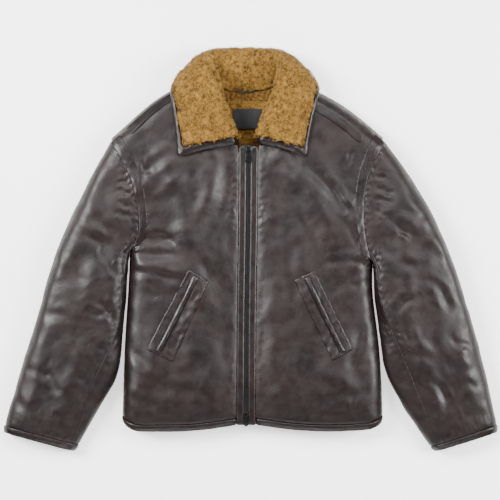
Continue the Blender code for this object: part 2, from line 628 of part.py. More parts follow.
MATERIALS = {
    "leather": lambda: principled("dark_brown_leather", (0.045, 0.028, 0.024), 0.38),
    "strip": lambda: principled("leather_strip", (0.038, 0.024, 0.021), 0.34),
    "wool": lambda: principled("tan_wool", (0.46, 0.27, 0.09), 0.95, sheen=0.6),
    "metal": lambda: principled("black_metal", (0.02, 0.02, 0.022), 0.3, metallic=0.9),
    "tape": lambda: principled("black_tape", (0.012, 0.012, 0.013), 0.8),
    "label": lambda: principled("grey_label", (0.05, 0.052, 0.06), 0.6),
}


# Body panels

def body_normals(grid, upper):
    """Outer directions of a body grid, up on a front and down on the back."""
    found = normals(grid)
    if (found[len(grid) // 3, grid.shape[1] // 2, 2] < 0) == upper:
        found = -found
    return softened(found)


def armhole_across(edge):
    """Directions in plan, square to the armhole, from the body to the sleeve."""
    along = np.gradient(edge[:, :2], axis=0)
    return unit(np.column_stack([along[:, 1], -along[:, 0], np.zeros(len(along))]))


def settle_edge(found, grid, column, side):
    """Makes the wall square to the side seam, and keeps it off the sleeve's wall at the armhole."""
    up = np.array((0.0, 0.0, 1.0))
    found[:PIT_ROW + 1, column] = flatten_along(found[:PIT_ROW + 1, column], up)
    across = armhole_across(grid[PIT_ROW:, column])
    across = across * np.sign(across[:, :1] * SIDES[side])
    part = found[PIT_ROW:, column]
    lean = (part * across).sum(axis=1, keepdims=True)
    found[PIT_ROW:, column] = unit(part - np.minimum(lean, 0) * across)


def front_normals(side, panel):
    found = body_normals(panel, True)
    settle_edge(found, panel, -1, side)
    found[-1] = flatten_along(found[-1], (0, 0, 1))
    for k in range(NECK_POINT + 1):
        found[k - NECK_POINT - 1, 0] = neck_normal(side, k)
    return found


def back_normals(panel):
    found = body_normals(panel, False)
    settle_edge(found, panel, 0, "right")
    settle_edge(found, panel, -1, "left")
    shoulder = len(top_points("right", NECK_POINT))
    for part in (np.s_[-1, :shoulder], np.s_[-1, -shoulder:]):
        found[part] = flatten_along(found[part], (0, 0, 1))
    middle = shoulder - 1 + NECK_LAST - NECK_POINT
    for k in range(NECK_POINT, NECK_LAST + 1):
        found[-1, middle - (NECK_LAST - k)] = neck_normal("right", k)
        found[-1, middle + (NECK_LAST - k)] = neck_normal("left", k)
    return found


def hem_band(name, hem, panel, directions):
    """The rolled band along the hem, thicker than the panel and rounded at its lower edge."""
    grid = np.concatenate([hem, panel[:1]])
    found = np.repeat(directions[:1], 3, axis=0)
    high = np.array((-2.6, BAND_PROUD * 0.8, BAND_PROUD))[:, None] * np.ones((1, grid.shape[1]))
    low = -BODY_WALL - np.array((-2.6, BAND_PROUD * 0.8, BAND_PROUD))[:, None] * np.ones((1, grid.shape[1]))
    slab(name, grid, found, high, low, "strip", floor=True, gap=BAND_GAP)


def build_body():
    """Fronts, back and their hem bands. Returns the grids that other pieces are made from."""
    made = {}
    for side in SIDES:
        hem, panel = front_grids(side)
        found = front_normals(side, panel)
        made[side] = panel, found
        slab(f"front_{side}", panel, found, 0, -BODY_WALL, "leather")
        hem_band(f"hem_band_{side}", hem, panel, found)
    hem, panel = back_grids()
    found = back_normals(panel)
    made["back"] = panel, found
    slab("back", panel, found, 0, -BODY_WALL, "leather", floor=True)
    hem_band("hem_band_back", hem, panel, found)
    return made


# Sleeves

PIT_THIN = 0.7          # how much of a sleeve's wall is pressed away in the crease of the armpit


def pit_share(steps, edge):
    """Share of a sleeve's full wall at each of its points."""
    ring = (edge[0, 1] - edge[:, 1]) / (edge[0, 1] - edge[-1, 1])
    ring = np.concatenate([ring, ring[-2:0:-1]])
    near_pit = ease((ring - 0.62) / 0.2)[None, :]
    near_body = 1 - ease((np.array(steps) - 0.04) / 0.13)[:, None]
    return 1 - PIT_THIN * near_pit * near_body


def build_sleeves(body):
    grids = {}
    for side in SIDES:
        front_edge = body[side][0][PIT_ROW:, -1][::-1]
        back_edge = body["back"][0][PIT_ROW:, 0 if side == "right" else -1][::-1]
        steps = SLEEVE_STEPS + CUFF_STEPS[1:]
        grid = sleeve_grid(side, steps, front_edge, back_edge)
        found = normals(grid, wrap=True)
        if found[6, 6, 2] < 0:
            found = -found
        found = softened(found)
        across = armhole_across(front_edge[::-1])[::-1]
        across = across * np.sign(across[:, :1] * SIDES[side])
        ring = np.concatenate([across, across[-2:0:-1]])
        lean = (found[0] * ring).sum(axis=1, keepdims=True)
        found[0] = unit(found[0] - np.maximum(lean, 0) * ring)
        low = -SLEEVE_WALL * pit_share(steps, front_edge)
        last = len(SLEEVE_STEPS)
        half = len(front_edge)
        seam = half - 1 - ROLL_ROWS
        back_seam = grid.shape[1] - ROLL_ROWS
        columns = list(range(back_seam, grid.shape[1])) + list(range(seam + 1))
        columns = columns[::-1]
        slab(f"sleeve_top_{side}", grid[:last, columns], found[:last, columns], 0, low[:last, columns],
             "leather", floor=True)
        columns = list(range(seam, back_seam + 1))[::-1]
        slab(f"sleeve_under_{side}", grid[:last, columns], found[:last, columns], 0, low[:last, columns],
             "leather", floor=True)
        band = grid[last - 1:]
        directions = np.repeat(found[last - 1:last], len(band), axis=0)
        shape = np.ones((1, grid.shape[1]))
        high = np.array((BAND_PROUD, BAND_PROUD * 0.8, -2.2))[:, None] * shape
        low = np.array((-SLEEVE_WALL - BAND_PROUD, -SLEEVE_WALL - 0.8, -SLEEVE_WALL + 2.2))[:, None] * shape
        slab(f"cuff_band_{side}", band, directions, high, low, "strip", edges=("first_row", "last_row"),
             wrap=True, floor=True)
        grids[side] = grid
    return grids


SHOULDER_STRIP_START = 3    # column where the collar's edge crosses the shoulder
STRIP_START = 2         # rows above the armpit where the armhole strip starts


def build_strips(body, sleeves):
    """Raised strips over the armhole seams and the shoulder seams."""
    for side in SIDES:
        panel, _ = body[side]
        ring = slice(PIT_ROW, None)
        inner = [panel[ring, column] for column in (-3, -2, -1)]
        half = len(inner[0])
        outer = sleeves[side][1, :half][::-1]
        grid = np.array([*inner, outer]).transpose(1, 0, 2)[STRIP_START:-1]
        found = normals(grid)
        if found[half // 2, 1, 2] < 0:
            found = -found
        high = np.array((STRIP_HIGH - 0.6, STRIP_HIGH, STRIP_HIGH, STRIP_HIGH - 0.6))[None, :]
        high = high * np.ones((len(grid), 1))
        slab(f"armhole_strip_{side}", grid, found, high, STRIP_LOW, "strip", edges=())
        rows = np.s_[-4:-2] if side == "left" else np.s_[-3:-1]
        grid = panel[rows, SHOULDER_STRIP_START:-3]
        found = body[side][1][rows, SHOULDER_STRIP_START:-3]
        slab(f"shoulder_strip_{side}", grid, found, STRIP_HIGH, STRIP_LOW, "strip", edges=())


# Collar

def collar_stations():
    """Stations of the collar's grid, with one at each end of the edge binding."""
    front = list(range(1, NECK_POINT + 1))
    inner = [END_START] + front + list(np.arange(NECK_POINT + 1, NECK_LAST + 0.5, 0.5))
    return np.array(inner + [COLLAR_STATIONS - k for k in reversed(inner[:-1])])


WOOL_ALONGS = np.array((0, 0.09, 0.18, 0.28, 0.37, 0.42, 0.47, 0.56, 0.68, 0.81, EDGE_START))
FOLD_COLUMNS = (4, 5, 6)    # columns on the collar's fold


def collar_directions(face, stations):
    """Directions to the wool side, square to the neckline seam at the neck."""
    found = normals(face)
    fold = (face[:, FOLD_COLUMNS[0] - 2] + face[:, FOLD_COLUMNS[-1] + 2]) / 2
    for column in FOLD_COLUMNS:
        found[:, column] = unit(found[:, column] + 3 * unit(face[:, column] - fold))
    found = softened(found)
    seam = -neck_normals(stations)
    for column, share in enumerate((1.0, 0.5)):
        found[:, column] = unit(found[:, column] * (1 - share) + seam * share)
    return found


def build_collar():
    stations = collar_stations()
    face = collar_face(stations, WOOL_ALONGS)
    found = collar_directions(face, stations)
    depth = smooth(WOOL_ALONGS, WOOL_DEPTH["along"], WOOL_DEPTH["depth"])
    depth = np.tile(depth, (len(stations), 1))
    depth[:, 0] = BODY_WALL - COLLAR_LEATHER
    parting = np.interp(WOOL_ALONGS, WOOL_PARTING["along"], WOOL_PARTING["gap"])[None, :]
    slab("collar_wool", face, found, depth, parting, "wool", floor=True, gap=0.8)
    slab("collar_leather", face, found, 0, -COLLAR_LEATHER, "leather")
    build_collar_edge(stations, found)


def build_collar_edge(stations, face_found):
    """The binding round the front ends and the outer edge of the collar."""
    alongs = WOOL_ALONGS
    last = COLLAR_STATIONS
    inner, outer = [], []
    for along in alongs[2:-1]:
        inner.append((END_START, along))
        outer.append((0.0, along))
    inner.append((END_START, EDGE_START))
    outer.append((0.0, 1.0))
    for station in stations[1:-1]:
        inner.append((station, EDGE_START))
        outer.append((station, 1.0))
    inner.append((last - END_START, EDGE_START))
    outer.append((last, 1.0))
    for along in alongs[-2:1:-1]:
        inner.append((last - END_START, along))
        outer.append((last, along))

    def place(pair):
        return collar_face([pair[0]], np.array([pair[1]]))[0, 0]

    def direction(pair):
        station = min(max(pair[0], 0.05), last - 0.05)
        along = min(max(pair[1], 0.05), 0.95)
        sample = collar_face([station - 0.05, station + 0.05], np.array([along - 0.05, along + 0.05]))
        across = sample[1, 0] + sample[1, 1] - sample[0, 0] - sample[0, 1]
        down = sample[0, 1] + sample[1, 1] - sample[0, 0] - sample[1, 0]
        return unit(np.cross(across, down))

    middle = [((a[0] + b[0]) / 2, (a[1] + b[1]) / 2) for a, b in zip(inner, outer)]
    lines = [inner, middle, outer]
    grid = np.array([[place(pair) for pair in line] for line in lines])
    found = np.array([[direction(pair) for pair in line] for line in lines])
    ends = len(alongs) - 2
    found[0, :ends] = face_found[0, 2:]
    found[0, ends - 1:len(inner) - ends + 1] = face_found[:, -1]
    found[0, -ends:] = face_found[-1, :1:-1]
    shape = np.ones((1, grid.shape[1]))
    high = np.array((3.4, 4.2, 1.2))[:, None] * shape
    low = np.array((-COLLAR_LEATHER, -COLLAR_LEATHER - 0.4, -1.2))[:, None] * shape
    slab("collar_edge", grid, found, high, low, "strip", edges=("first_row",), floor=True)


# Pieces that lie on other pieces

def surface_tree(names):
    """Search tree over the triangles of some pieces, in millimetres."""
    points, triangles = [], []
    for name in names:
        mesh = bpy.data.objects[name].data
        mesh.calc_loop_triangles()
        start = len(points)
        points += [v.co / MM for v in mesh.vertices]
        triangles += [[start + k for k in t.vertices] for t in mesh.loop_triangles]
    return BVHTree.FromPolygons(points, triangles)


def height_over(tree, x, y, spread, start=150.0):
    """Highest place of the pieces at and near a point, looking down from a height."""
    best = -1.0
    for dx in (-spread, 0, spread):
        for dy in (-spread, 0, spread):
            hit = tree.ray_cast(Vector((x + dx, y + dy, start)), Vector((0, 0, -1)))
            if hit[0] is not None:
                best = max(best, hit[0].z)
    return best


def patch_grid(corners, rows, columns):
    """Points spread between four corners: outer top, inner top, inner bottom, outer bottom."""
    corners = [np.array(c, float) for c in corners]
    down = np.linspace(0, 1, rows)[:, None, None]
    over = np.linspace(0, 1, columns)[None, :, None]
    outer = corners[0] + down * (corners[3] - corners[0])
    inner = corners[1] + down * (corners[2] - corners[1])
    return outer + over * (inner - outer)


def laid_on(plan, tree, spread, start=150.0):
    """Lifts a plan onto the pieces below it."""
    z = [[height_over(tree, x, y, spread, start) for x, y in row] for row in plan]
    return with_height(plan, np.array(z))


UP = np.array((0.0, 0.0, 1.0))


def build_pockets():
    for side in SIDES:
        tree = surface_tree([f"front_{side}"])
        grid = laid_on(patch_grid(POCKETS[side], 10, 5), tree, 3.0)
        up = np.broadcast_to(UP, grid.shape)
        slab(f"pocket_patch_{side}", grid, up, 1.9, 0.3, "leather", edges=())
        outer_top, inner_top, inner_low, outer_low = (np.array(c, float) for c in POCKETS[side])
        share = WELT_SHARE[side]
        top = outer_top + share * (inner_top - outer_top)
        low = outer_low + share * (inner_low - outer_low)
        top, low = top + 0.03 * (low - top), low - 0.03 * (low - top)
        over = unit(inner_top - outer_top) * WELT_HALF
        line = patch_grid((top - over, top + over, low + over, low - over), 10, 5)
        grid = laid_on(line, surface_tree([f"pocket_patch_{side}"]), 2.0)
        rise = WELT_RISE * np.array((0.3, 0.86, 1.0, 0.86, 0.3))
        rise = np.tile(rise, (len(grid), 1))
        rise[0] *= 0.6
        rise[-1] *= 0.6
        slab(f"pocket_welt_{side}", grid, up[:, :5], rise, 0.3, "leather", edges=())


def build_neck_lining():
    """Wool of the back where the neck is open, and the bare label on it."""
    tree = surface_tree(["back"])
    corners = ((-76, 300), (52, 300), (60, 196), (-84, 196))
    grid = laid_on(patch_grid(corners, 9, 9), tree, 8.0, start=40.0)
    up = np.broadcast_to(UP, grid.shape)
    edge = np.minimum.outer(np.minimum(np.arange(9), np.arange(9)[::-1]), np.full(9, 9))
    rim = np.minimum(edge, edge.T)
    high = np.where(rim == 0, 3.0, 6.0)
    slab("neck_wool", grid, up, high, 0.3, "wool", edges=())
    corners = ((-35, 281), (23, 281), (23, 241), (-35, 241))
    grid = laid_on(patch_grid(corners, 3, 4), surface_tree(["neck_wool"]), 5.0, start=60.0)
    slab("neck_label", grid, np.broadcast_to(UP, grid.shape), 1.5, 0.3, "label", edges=())


# Zip

ZIP_SPANS = 20


def zip_base(y):
    """Height of the top of the front edge strips along the zip."""
    y = np.asarray(y, float)
    x = zip_x(y) + SIDES["left"] * (PLACKET_OUT + SEAM_GAP)
    return front_z("left", x, y) - 0.5


def zip_ribbon(name, inner, outer, high, low, material):
    """A long piece beside the zip line, from one distance to another across it."""
    y = np.linspace(ZIP_BOTTOM, ZIP_TOP, ZIP_SPANS + 1)
    base = zip_base(y)
    line = [np.column_stack([zip_x(y) + d, y, base]) for d in (inner, outer)]
    grid = np.array(line)
    slab(name, grid, np.broadcast_to(UP, grid.shape), high, low, material, edges=())


def build_zip():
    chain_top = -PLACKET_THICK + 1.5
    for side, out in SIDES.items():
        zip_ribbon(f"placket_{side}", out * PLACKET_IN, out * PLACKET_OUT, 0, -PLACKET_THICK, "strip")
        tape_top = -PLACKET_THICK - SEAM_GAP
        zip_ribbon(f"zip_tape_{side}", out * (CHAIN_HALF + SEAM_GAP), out * 14.0, tape_top,
                   tape_top - TAPE_THICK, "tape")
    zip_ribbon("zip_chain", -CHAIN_HALF, CHAIN_HALF, chain_top, chain_top - CHAIN_THICK, "metal")
    for label, y, long, half in zip(("top", "bottom"), *(HARDWARE[c] for c in ("y", "tab_long", "tab_half"))):
        knots = np.linspace(ZIP_BOTTOM, ZIP_TOP, ZIP_SPANS + 1)
        under = np.interp((y - SLIDER_LONG / 2, y, y + SLIDER_LONG / 2), knots, zip_base(knots))
        build_slider(label, y, float(under.max()) + chain_top + SEAM_GAP, long, half)


def box_points(low, high):
    return [(x, y, z) for x in (low[0], high[0]) for y in (low[1], high[1]) for z in (low[2], high[2])]


BOX_FACES = [(0, 1, 3, 2), (4, 6, 7, 5), (0, 4, 5, 1), (2, 3, 7, 6), (0, 2, 6, 4), (1, 5, 7, 3)]


def extruded(name, outline, half, material):
    """A shape drawn in Y and Z, extruded along X to each side."""
    count = len(outline)
    points = [(side * half, y, z) for side in (-1, 1) for y, z in outline]
    faces = [tuple(range(count)), tuple(range(2 * count - 1, count - 1, -1))]
    faces += [(k, k + count, (k + 1) % count + count, (k + 1) % count) for k in range(count)]
    return make_object(name, points, faces, material)


def build_slider(label, y, base_z, tab_long, tab_half):
    """A slider with a bridge, and a pull tab whose bar turns under the bridge."""
    top = SLIDER_THICK
    half_long = SLIDER_LONG / 2
    block = box_points((-SLIDER_HALF, -half_long, 0), (SLIDER_HALF, half_long, top))
    body = make_object(f"slider_{label}", block, BOX_FACES, "metal")
    bevel = body.modifiers.new("round", "BEVEL")
    bevel.width = 0.8 * MM
    bevel.segments = 2
    axis_z = top + AXIS_RISE
    inner_top = axis_z + AXIS_ROOM
    reach = BRIDGE_REACH
    outline = [(-reach, top - 0.8), (-reach, inner_top), (-reach + BRIDGE_THICK, inner_top + BRIDGE_THICK),
               (reach - BRIDGE_THICK, inner_top + BRIDGE_THICK), (reach, inner_top), (reach, top - 0.8),
               (reach - BRIDGE_THICK, top - 0.8), (reach - BRIDGE_THICK, inner_top),
               (-reach + BRIDGE_THICK, inner_top), (-reach + BRIDGE_THICK, top - 0.8)]
    bridge = extruded(f"bridge_{label}", outline, BRIDGE_HALF, "metal")
    join = body.modifiers.new("bridge", "BOOLEAN")
    join.operation = "UNION"
    join.solver = "EXACT"
    join.object = bridge
    bridge.hide_render = True
    bridge.display_type = "WIRE"
    x = float(zip_x(y))
    place = Vector((x, y, base_z)) * MM
    for thing in (body, bridge):
        thing.location = place
    build_tab(label, tab_long, tab_half, Vector((x, y, base_z + axis_z)) * MM)


def build_tab(label, long, half, place):
    """A pointed loop. Its upper bar is the joint axis and its origin."""
    bar = TAB_BAR / 2
    outer = [(-2.9, bar), (2.9, bar), (half * 0.75, -long * 0.3), (half, -long * 0.68),
             (half * 0.8, -long * 0.86), (0, -long), (-half * 0.8, -long * 0.86), (-half, -long * 0.68),
             (-half * 0.75, -long * 0.3)]
    arm = 1.5
    inner = [(-2.1, -bar), (2.1, -bar), (half * 0.75 - arm, -long * 0.3), (half - arm, -long * 0.66),
             (half * 0.8 - arm, -long * 0.8), (0, -long + 3.6), (-half * 0.8 + arm, -long * 0.8),
             (-half + arm, -long * 0.66), (-half * 0.75 + arm, -long * 0.3)]
    count = len(outer)
    rings = [(outer, TAB_THICK / 2), (inner, TAB_THICK / 2), (inner, -TAB_THICK / 2), (outer, -TAB_THICK / 2)]
    points = [(x, y, z) for ring, z in rings for x, y in ring]
    faces = []
    for ring in range(4):
        for k in range(count):
            a, b = ring * count + k, ring * count + (k + 1) % count
            c, d = (ring + 1) % 4 * count + (k + 1) % count, (ring + 1) % 4 * count + k
            faces.append((a, b, c, d))
    tab = make_object(f"pull_tab_{label}", points, faces, "metal")
    tab.location = place


LOOP = {"x_from": -31.0, "x_to": 12.0, "y": 320.0, "sag": 7.0, "half": 1.5, "thick": 2.4}


def build_loop():
    """The hanger loop, laid across the wool at the back neck."""
    share = np.linspace(0, 1, 11)
    x = LOOP["x_from"] + share * (LOOP["x_to"] - LOOP["x_from"])
    y = LOOP["y"] - LOOP["sag"] * np.sin(math.pi * share)
    plan = np.array([np.column_stack([x, y + half]) for half in (LOOP["half"], -LOOP["half"])])
    grid = laid_on(plan, surface_tree(["back", "collar_wool", "neck_wool"]), 2.5, start=60.0)
    up = np.broadcast_to(UP, grid.shape)
    slab("hanger_loop", grid, up, SEAM_GAP + LOOP["thick"], SEAM_GAP, "tape", edges=())


def clear_scene():
    for thing in list(bpy.data.objects):
        bpy.data.objects.remove(thing, do_unlink=True)


def main():
    clear_scene()
    body = build_body()
    sleeves = build_sleeves(body)
    build_strips(body, sleeves)
    build_collar()
    build_pockets()
    build_neck_lining()
    build_zip()
    build_loop()


main()
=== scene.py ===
import math

import bmesh
import bpy
import numpy as np
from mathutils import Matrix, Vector, noise
from mathutils.bvhtree import BVHTree
from mathutils.kdtree import KDTree


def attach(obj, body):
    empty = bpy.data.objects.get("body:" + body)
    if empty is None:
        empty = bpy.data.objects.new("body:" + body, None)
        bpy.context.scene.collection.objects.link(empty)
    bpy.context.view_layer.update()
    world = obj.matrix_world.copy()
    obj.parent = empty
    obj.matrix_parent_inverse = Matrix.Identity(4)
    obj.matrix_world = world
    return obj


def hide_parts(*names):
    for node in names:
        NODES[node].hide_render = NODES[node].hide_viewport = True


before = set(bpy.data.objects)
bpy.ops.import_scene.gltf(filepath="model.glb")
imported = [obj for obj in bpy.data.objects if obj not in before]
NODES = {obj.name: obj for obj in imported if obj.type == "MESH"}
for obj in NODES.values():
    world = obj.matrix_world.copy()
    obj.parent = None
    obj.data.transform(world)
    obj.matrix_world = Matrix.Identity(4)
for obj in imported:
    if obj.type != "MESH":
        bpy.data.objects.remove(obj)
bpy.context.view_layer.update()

# Sizes are in millimetres. X runs to the wearer's left, Y from hem to collar, Z up from the surface.

BODY = "jacket"
MM = 0.001
SIDES = {"right": -1.0, "left": 1.0}


def table(columns, *rows):
    """Column name to its values, one for each row."""
    return {name: np.array(values, float) for name, values in zip(columns.split(), zip(*rows))}


ZIP_LINE = table("y x", (-356, -9), (-100, -7.5), (60, -5), (208, -4))
ZIP_TOP, ZIP_BOTTOM = 206.0, -350.0
PLACKET_IN, PLACKET_OUT = 4.5, 18.5
HEM_LINE = table(
    "x y",
    (-258, -343), (-255, -350), (-243, -359), (-186, -364.5), (-110, -363), (-52, -356), (-18, -351.5),
    (5, -351.5), (62, -359), (120, -364), (196, -363.5), (250, -357), (262, -350), (266, -343))
ARMHOLE = {
    "right": table("y x", (22, -229), (40, -226.5), (75, -222.3), (110, -220), (150, -219.5), (186, -222),
                   (205, -231), (212, -237)),
    "left": table("y x", (-6, 236), (20, 231), (76, 224), (120, 223), (154, 225.6), (184, 230),
                  (204, 236.5), (212, 241)),
}
SHOULDER = {
    "right": table("x y", (-262, 232), (-240, 252), (-201, 285), (-176, 299)),
    "left": table("x y", (156, 302), (184, 285), (225, 252), (250, 232)),
}
CUFF = {"right": ((-490, -358), (-352, -393)), "left": ((490, -357), (372, -393))}
POCKETS = {
    "right": ((-122.4, -39.6), (-83.6, -62.6), (-155.2, -223.6), (-207, -198.8)),
    "left": ((127, -42.6), (87, -61), (163, -221), (204, -200)),
}

# Each crease runs from start to end, bowed sideways at its middle. A depth above zero is a trough, and
# one below zero a ridge.
CREASES_UP = table(
    "x1 y1 x2 y2 bow width depth",
    # broad folds of the fronts
    (-70, 196, -132, 10, -14, 20, -3.4), (-44, 200, -92, -10, -10, 17, 3.0),
    (-178, 210, -120, 96, 12, 18, -2.6), (-136, 60, -60, -140, 16, 26, -2.4),
    (-60, -40, -88, -250, -10, 24, 2.2), (-180, -90, -226, -300, -10, 22, -2.6),
    (48, 196, 176, -20, -16, 20, -3.6), (88, 190, 214, -10, -14, 16, 2.8),
    (40, 150, 84, -110, -12, 22, 2.4), (84, 60, 128, -100, 8, 20, -2.6), (46, -60, 72, -320, 10, 24, -2.2),
    (206, -60, 176, -320, 12, 22, -2.8),
    # broad folds of the sleeves
    (-296, 176, -400, -60, -16, 16, -2.6), (-300, 60, -318, -130, 10, 15, -2.2),
    (-420, -170, -448, -330, -8, 14, -2.4), (-330, -190, -380, -350, 8, 14, -2.0),
    (290, 176, 384, -10, 14, 16, -2.6), (296, 30, 316, -150, -10, 15, -2.2),
    (420, -130, 456, -320, 10, 14, -2.6), (330, -180, 384, -350, -8, 14, -2.2),
    # right chest
    (-150, 196, -222, 136, 6, 9, 2.0), (-120, 176, -196, 104, -8, 12, -1.8),
    (-108, 120, -116, 20, 5, 14, 1.4), (-236, 22, -150, 14, -6, 8, 2.8), (-240, 2, -128, -14, 5, 7, 2.2),
    (-232, -22, -120, -44, 6, 9, -2.2), (-236, -44, -140, -62, -4, 7, 2.0),
    (-222, -80, -176, -96, 3, 6, 1.2), (-100, -20, -52, -70, 6, 10, 1.6), (-60, 80, -44, -10, -5, 12, 1.2),
    (-240, -180, -200, -240, 6, 10, 1.8), (-190, -262, -110, -286, 8, 12, 1.6),
    (-236, -292, -180, -310, 4, 8, 1.4), (-80, -150, -60, -260, 5, 13, -1.4),
    (-170, -330, -80, -326, 4, 7, 1.2), (-218, 176, -196, 150, 3, 5, 1.6),
    (-100, 214, -72, 160, 5, 9, 1.4),
    # left chest
    (112, 168, 190, 70, -8, 9, 2.4), (190, 66, 236, -70, -6, 9, 2.2), (150, 150, 216, 78, 5, 8, -1.8),
    (96, 120, 124, 10, 6, 13, 1.4), (236, -30, 150, -26, 5, 7, 2.0), (240, -62, 196, -70, -3, 6, 1.6),
    (60, 60, 52, -60, -6, 13, -1.2), (230, -150, 200, -238, 5, 9, 1.8),
    (120, -262, 210, -300, -8, 11, 1.8), (236, -270, 196, -316, 4, 8, 1.2),
    (60, -180, 80, -290, 5, 12, 1.4), (90, -330, 190, -332, -3, 7, 1.0), (70, 214, 92, 150, -4, 9, 1.4),
    (206, 196, 190, 160, 3, 6, 1.4),
    # right sleeve
    (-262, 138, -236, 128, 2, 4, 1.8), (-268, 118, -236, 106, -2, 4.5, 2.2),
    (-266, 96, -234, 84, 2, 4, 1.9), (-270, 72, -236, 62, -2, 4.5, 1.6), (-340, 96, -262, 30, 8, 10, 2.0),
    (-352, 44, -270, -24, -9, 9, 2.8), (-300, 4, -262, -50, 5, 7, 2.2), (-392, -20, -320, -66, 8, 10, 2.0),
    (-300, -104, -262, -160, -5, 8, 2.8), (-330, -120, -276, -128, 4, 6, 2.4),
    (-316, -180, -272, -206, 4, 7, 2.6), (-420, -130, -350, -146, -6, 9, 1.8),
    (-412, -228, -378, -286, 5, 8, 2.4), (-446, -236, -398, -250, 4, 7, 2.0),
    (-352, -250, -306, -286, -5, 8, 2.2), (-474, -300, -420, -322, 4, 8, 1.5),
    (-394, -330, -344, -352, -4, 7, 1.7), (-380, 10, -372, -60, 4, 9, -1.4),
    # left sleeve
    (248, 146, 276, 134, -2, 4, 2.0), (250, 124, 284, 112, 2, 4.5, 2.2), (248, 100, 282, 90, -2, 4, 1.8),
    (248, 78, 276, 68, 2, 4, 1.5), (262, 66, 322, 22, -6, 8, 2.6), (290, 46, 318, 28, 3, 5, 2.2),
    (300, 92, 344, 60, 5, 9, 1.8), (262, 8, 330, -34, 7, 9, 2.4), (356, -58, 398, -124, -6, 8, 2.4),
    (340, -90, 286, -126, 5, 8, 2.6), (306, -158, 358, -224, 7, 9, 2.8), (398, -180, 440, -194, 3, 6, 2.2),
    (284, -206, 336, -216, -4, 7, 2.4), (386, -226, 446, -240, 5, 9, 1.8),
    (358, -260, 392, -304, -4, 7, 2.4), (420, -262, 466, -270, 3, 7, 1.5),
    (336, -292, 372, -330, 4, 7, 1.9), (418, -322, 474, -330, 4, 8, 1.5), (372, 24, 388, -40, -4, 9, -1.4),
)
CREASES_DOWN = table(
    "x1 y1 x2 y2 bow width depth",
    (-200, 196, -120, 90, 9, 12, 1.4), (-226, 20, -120, -6, -6, 9, 1.6), (-180, -60, -60, -84, 7, 11, 1.2),
    (-230, -150, -160, -250, 8, 12, 1.4), (-120, -240, 10, -262, -9, 12, 1.2),
    (-60, 120, -40, -20, 6, 13, 1.0), (190, 190, 110, 96, -8, 11, 1.4), (228, 10, 116, -22, 6, 9, 1.6),
    (170, -84, 50, -70, -6, 11, 1.2), (226, -170, 170, -262, -7, 12, 1.4),
    (60, -290, 170, -300, 5, 9, 1.0), (40, 110, 30, -40, -6, 14, -0.9), (-340, 90, -262, 24, 7, 10, 1.6),
    (-300, -100, -262, -160, -5, 8, 2.0), (-412, -228, -378, -286, 5, 9, 1.6),
    (-350, -250, -306, -286, -5, 8, 1.6), (-420, -130, -350, -146, -6, 9, 1.3),
    (262, 60, 330, 18, -6, 9, 1.8), (356, -58, 398, -124, -6, 9, 1.6), (306, -158, 358, -224, 7, 9, 2.0),
    (386, -226, 446, -240, 5, 9, 1.3), (336, -292, 372, -330, 4, 8, 1.4),
)
RIPPLES = table("size height seed", (70, 0.55, 3), (30, 0.17, 8), (13, 0.045, 14))


def smooth(at, knots, values):
    """Smooth curve through the values at the knots."""
    at = np.clip(np.asarray(at, float), knots[0], knots[-1])
    slope = np.gradient(values, knots)
    i = np.clip(np.searchsorted(knots, at, side="right") - 1, 0, len(knots) - 2)
    span = knots[i + 1] - knots[i]
    u = (at - knots[i]) / span
    start = (2 * u ** 3 - 3 * u ** 2 + 1) * values[i] + (u ** 3 - 2 * u ** 2 + u) * span * slope[i]
    end = (3 * u ** 2 - 2 * u ** 3) * values[i + 1] + (u ** 3 - u ** 2) * span * slope[i + 1]
    return start + end


def ease(value):
    """0 to 1 with flat ends."""
    value = np.clip(value, 0, 1)
    return value * value * (3 - 2 * value)


def unit(vectors):
    """The same directions at length one."""
    return vectors / np.maximum(np.linalg.norm(vectors, axis=-1, keepdims=True), 1e-9)


def zip_x(y):
    """X of the zip's middle line."""
    return smooth(y, ZIP_LINE["y"], ZIP_LINE["x"])


# Materials

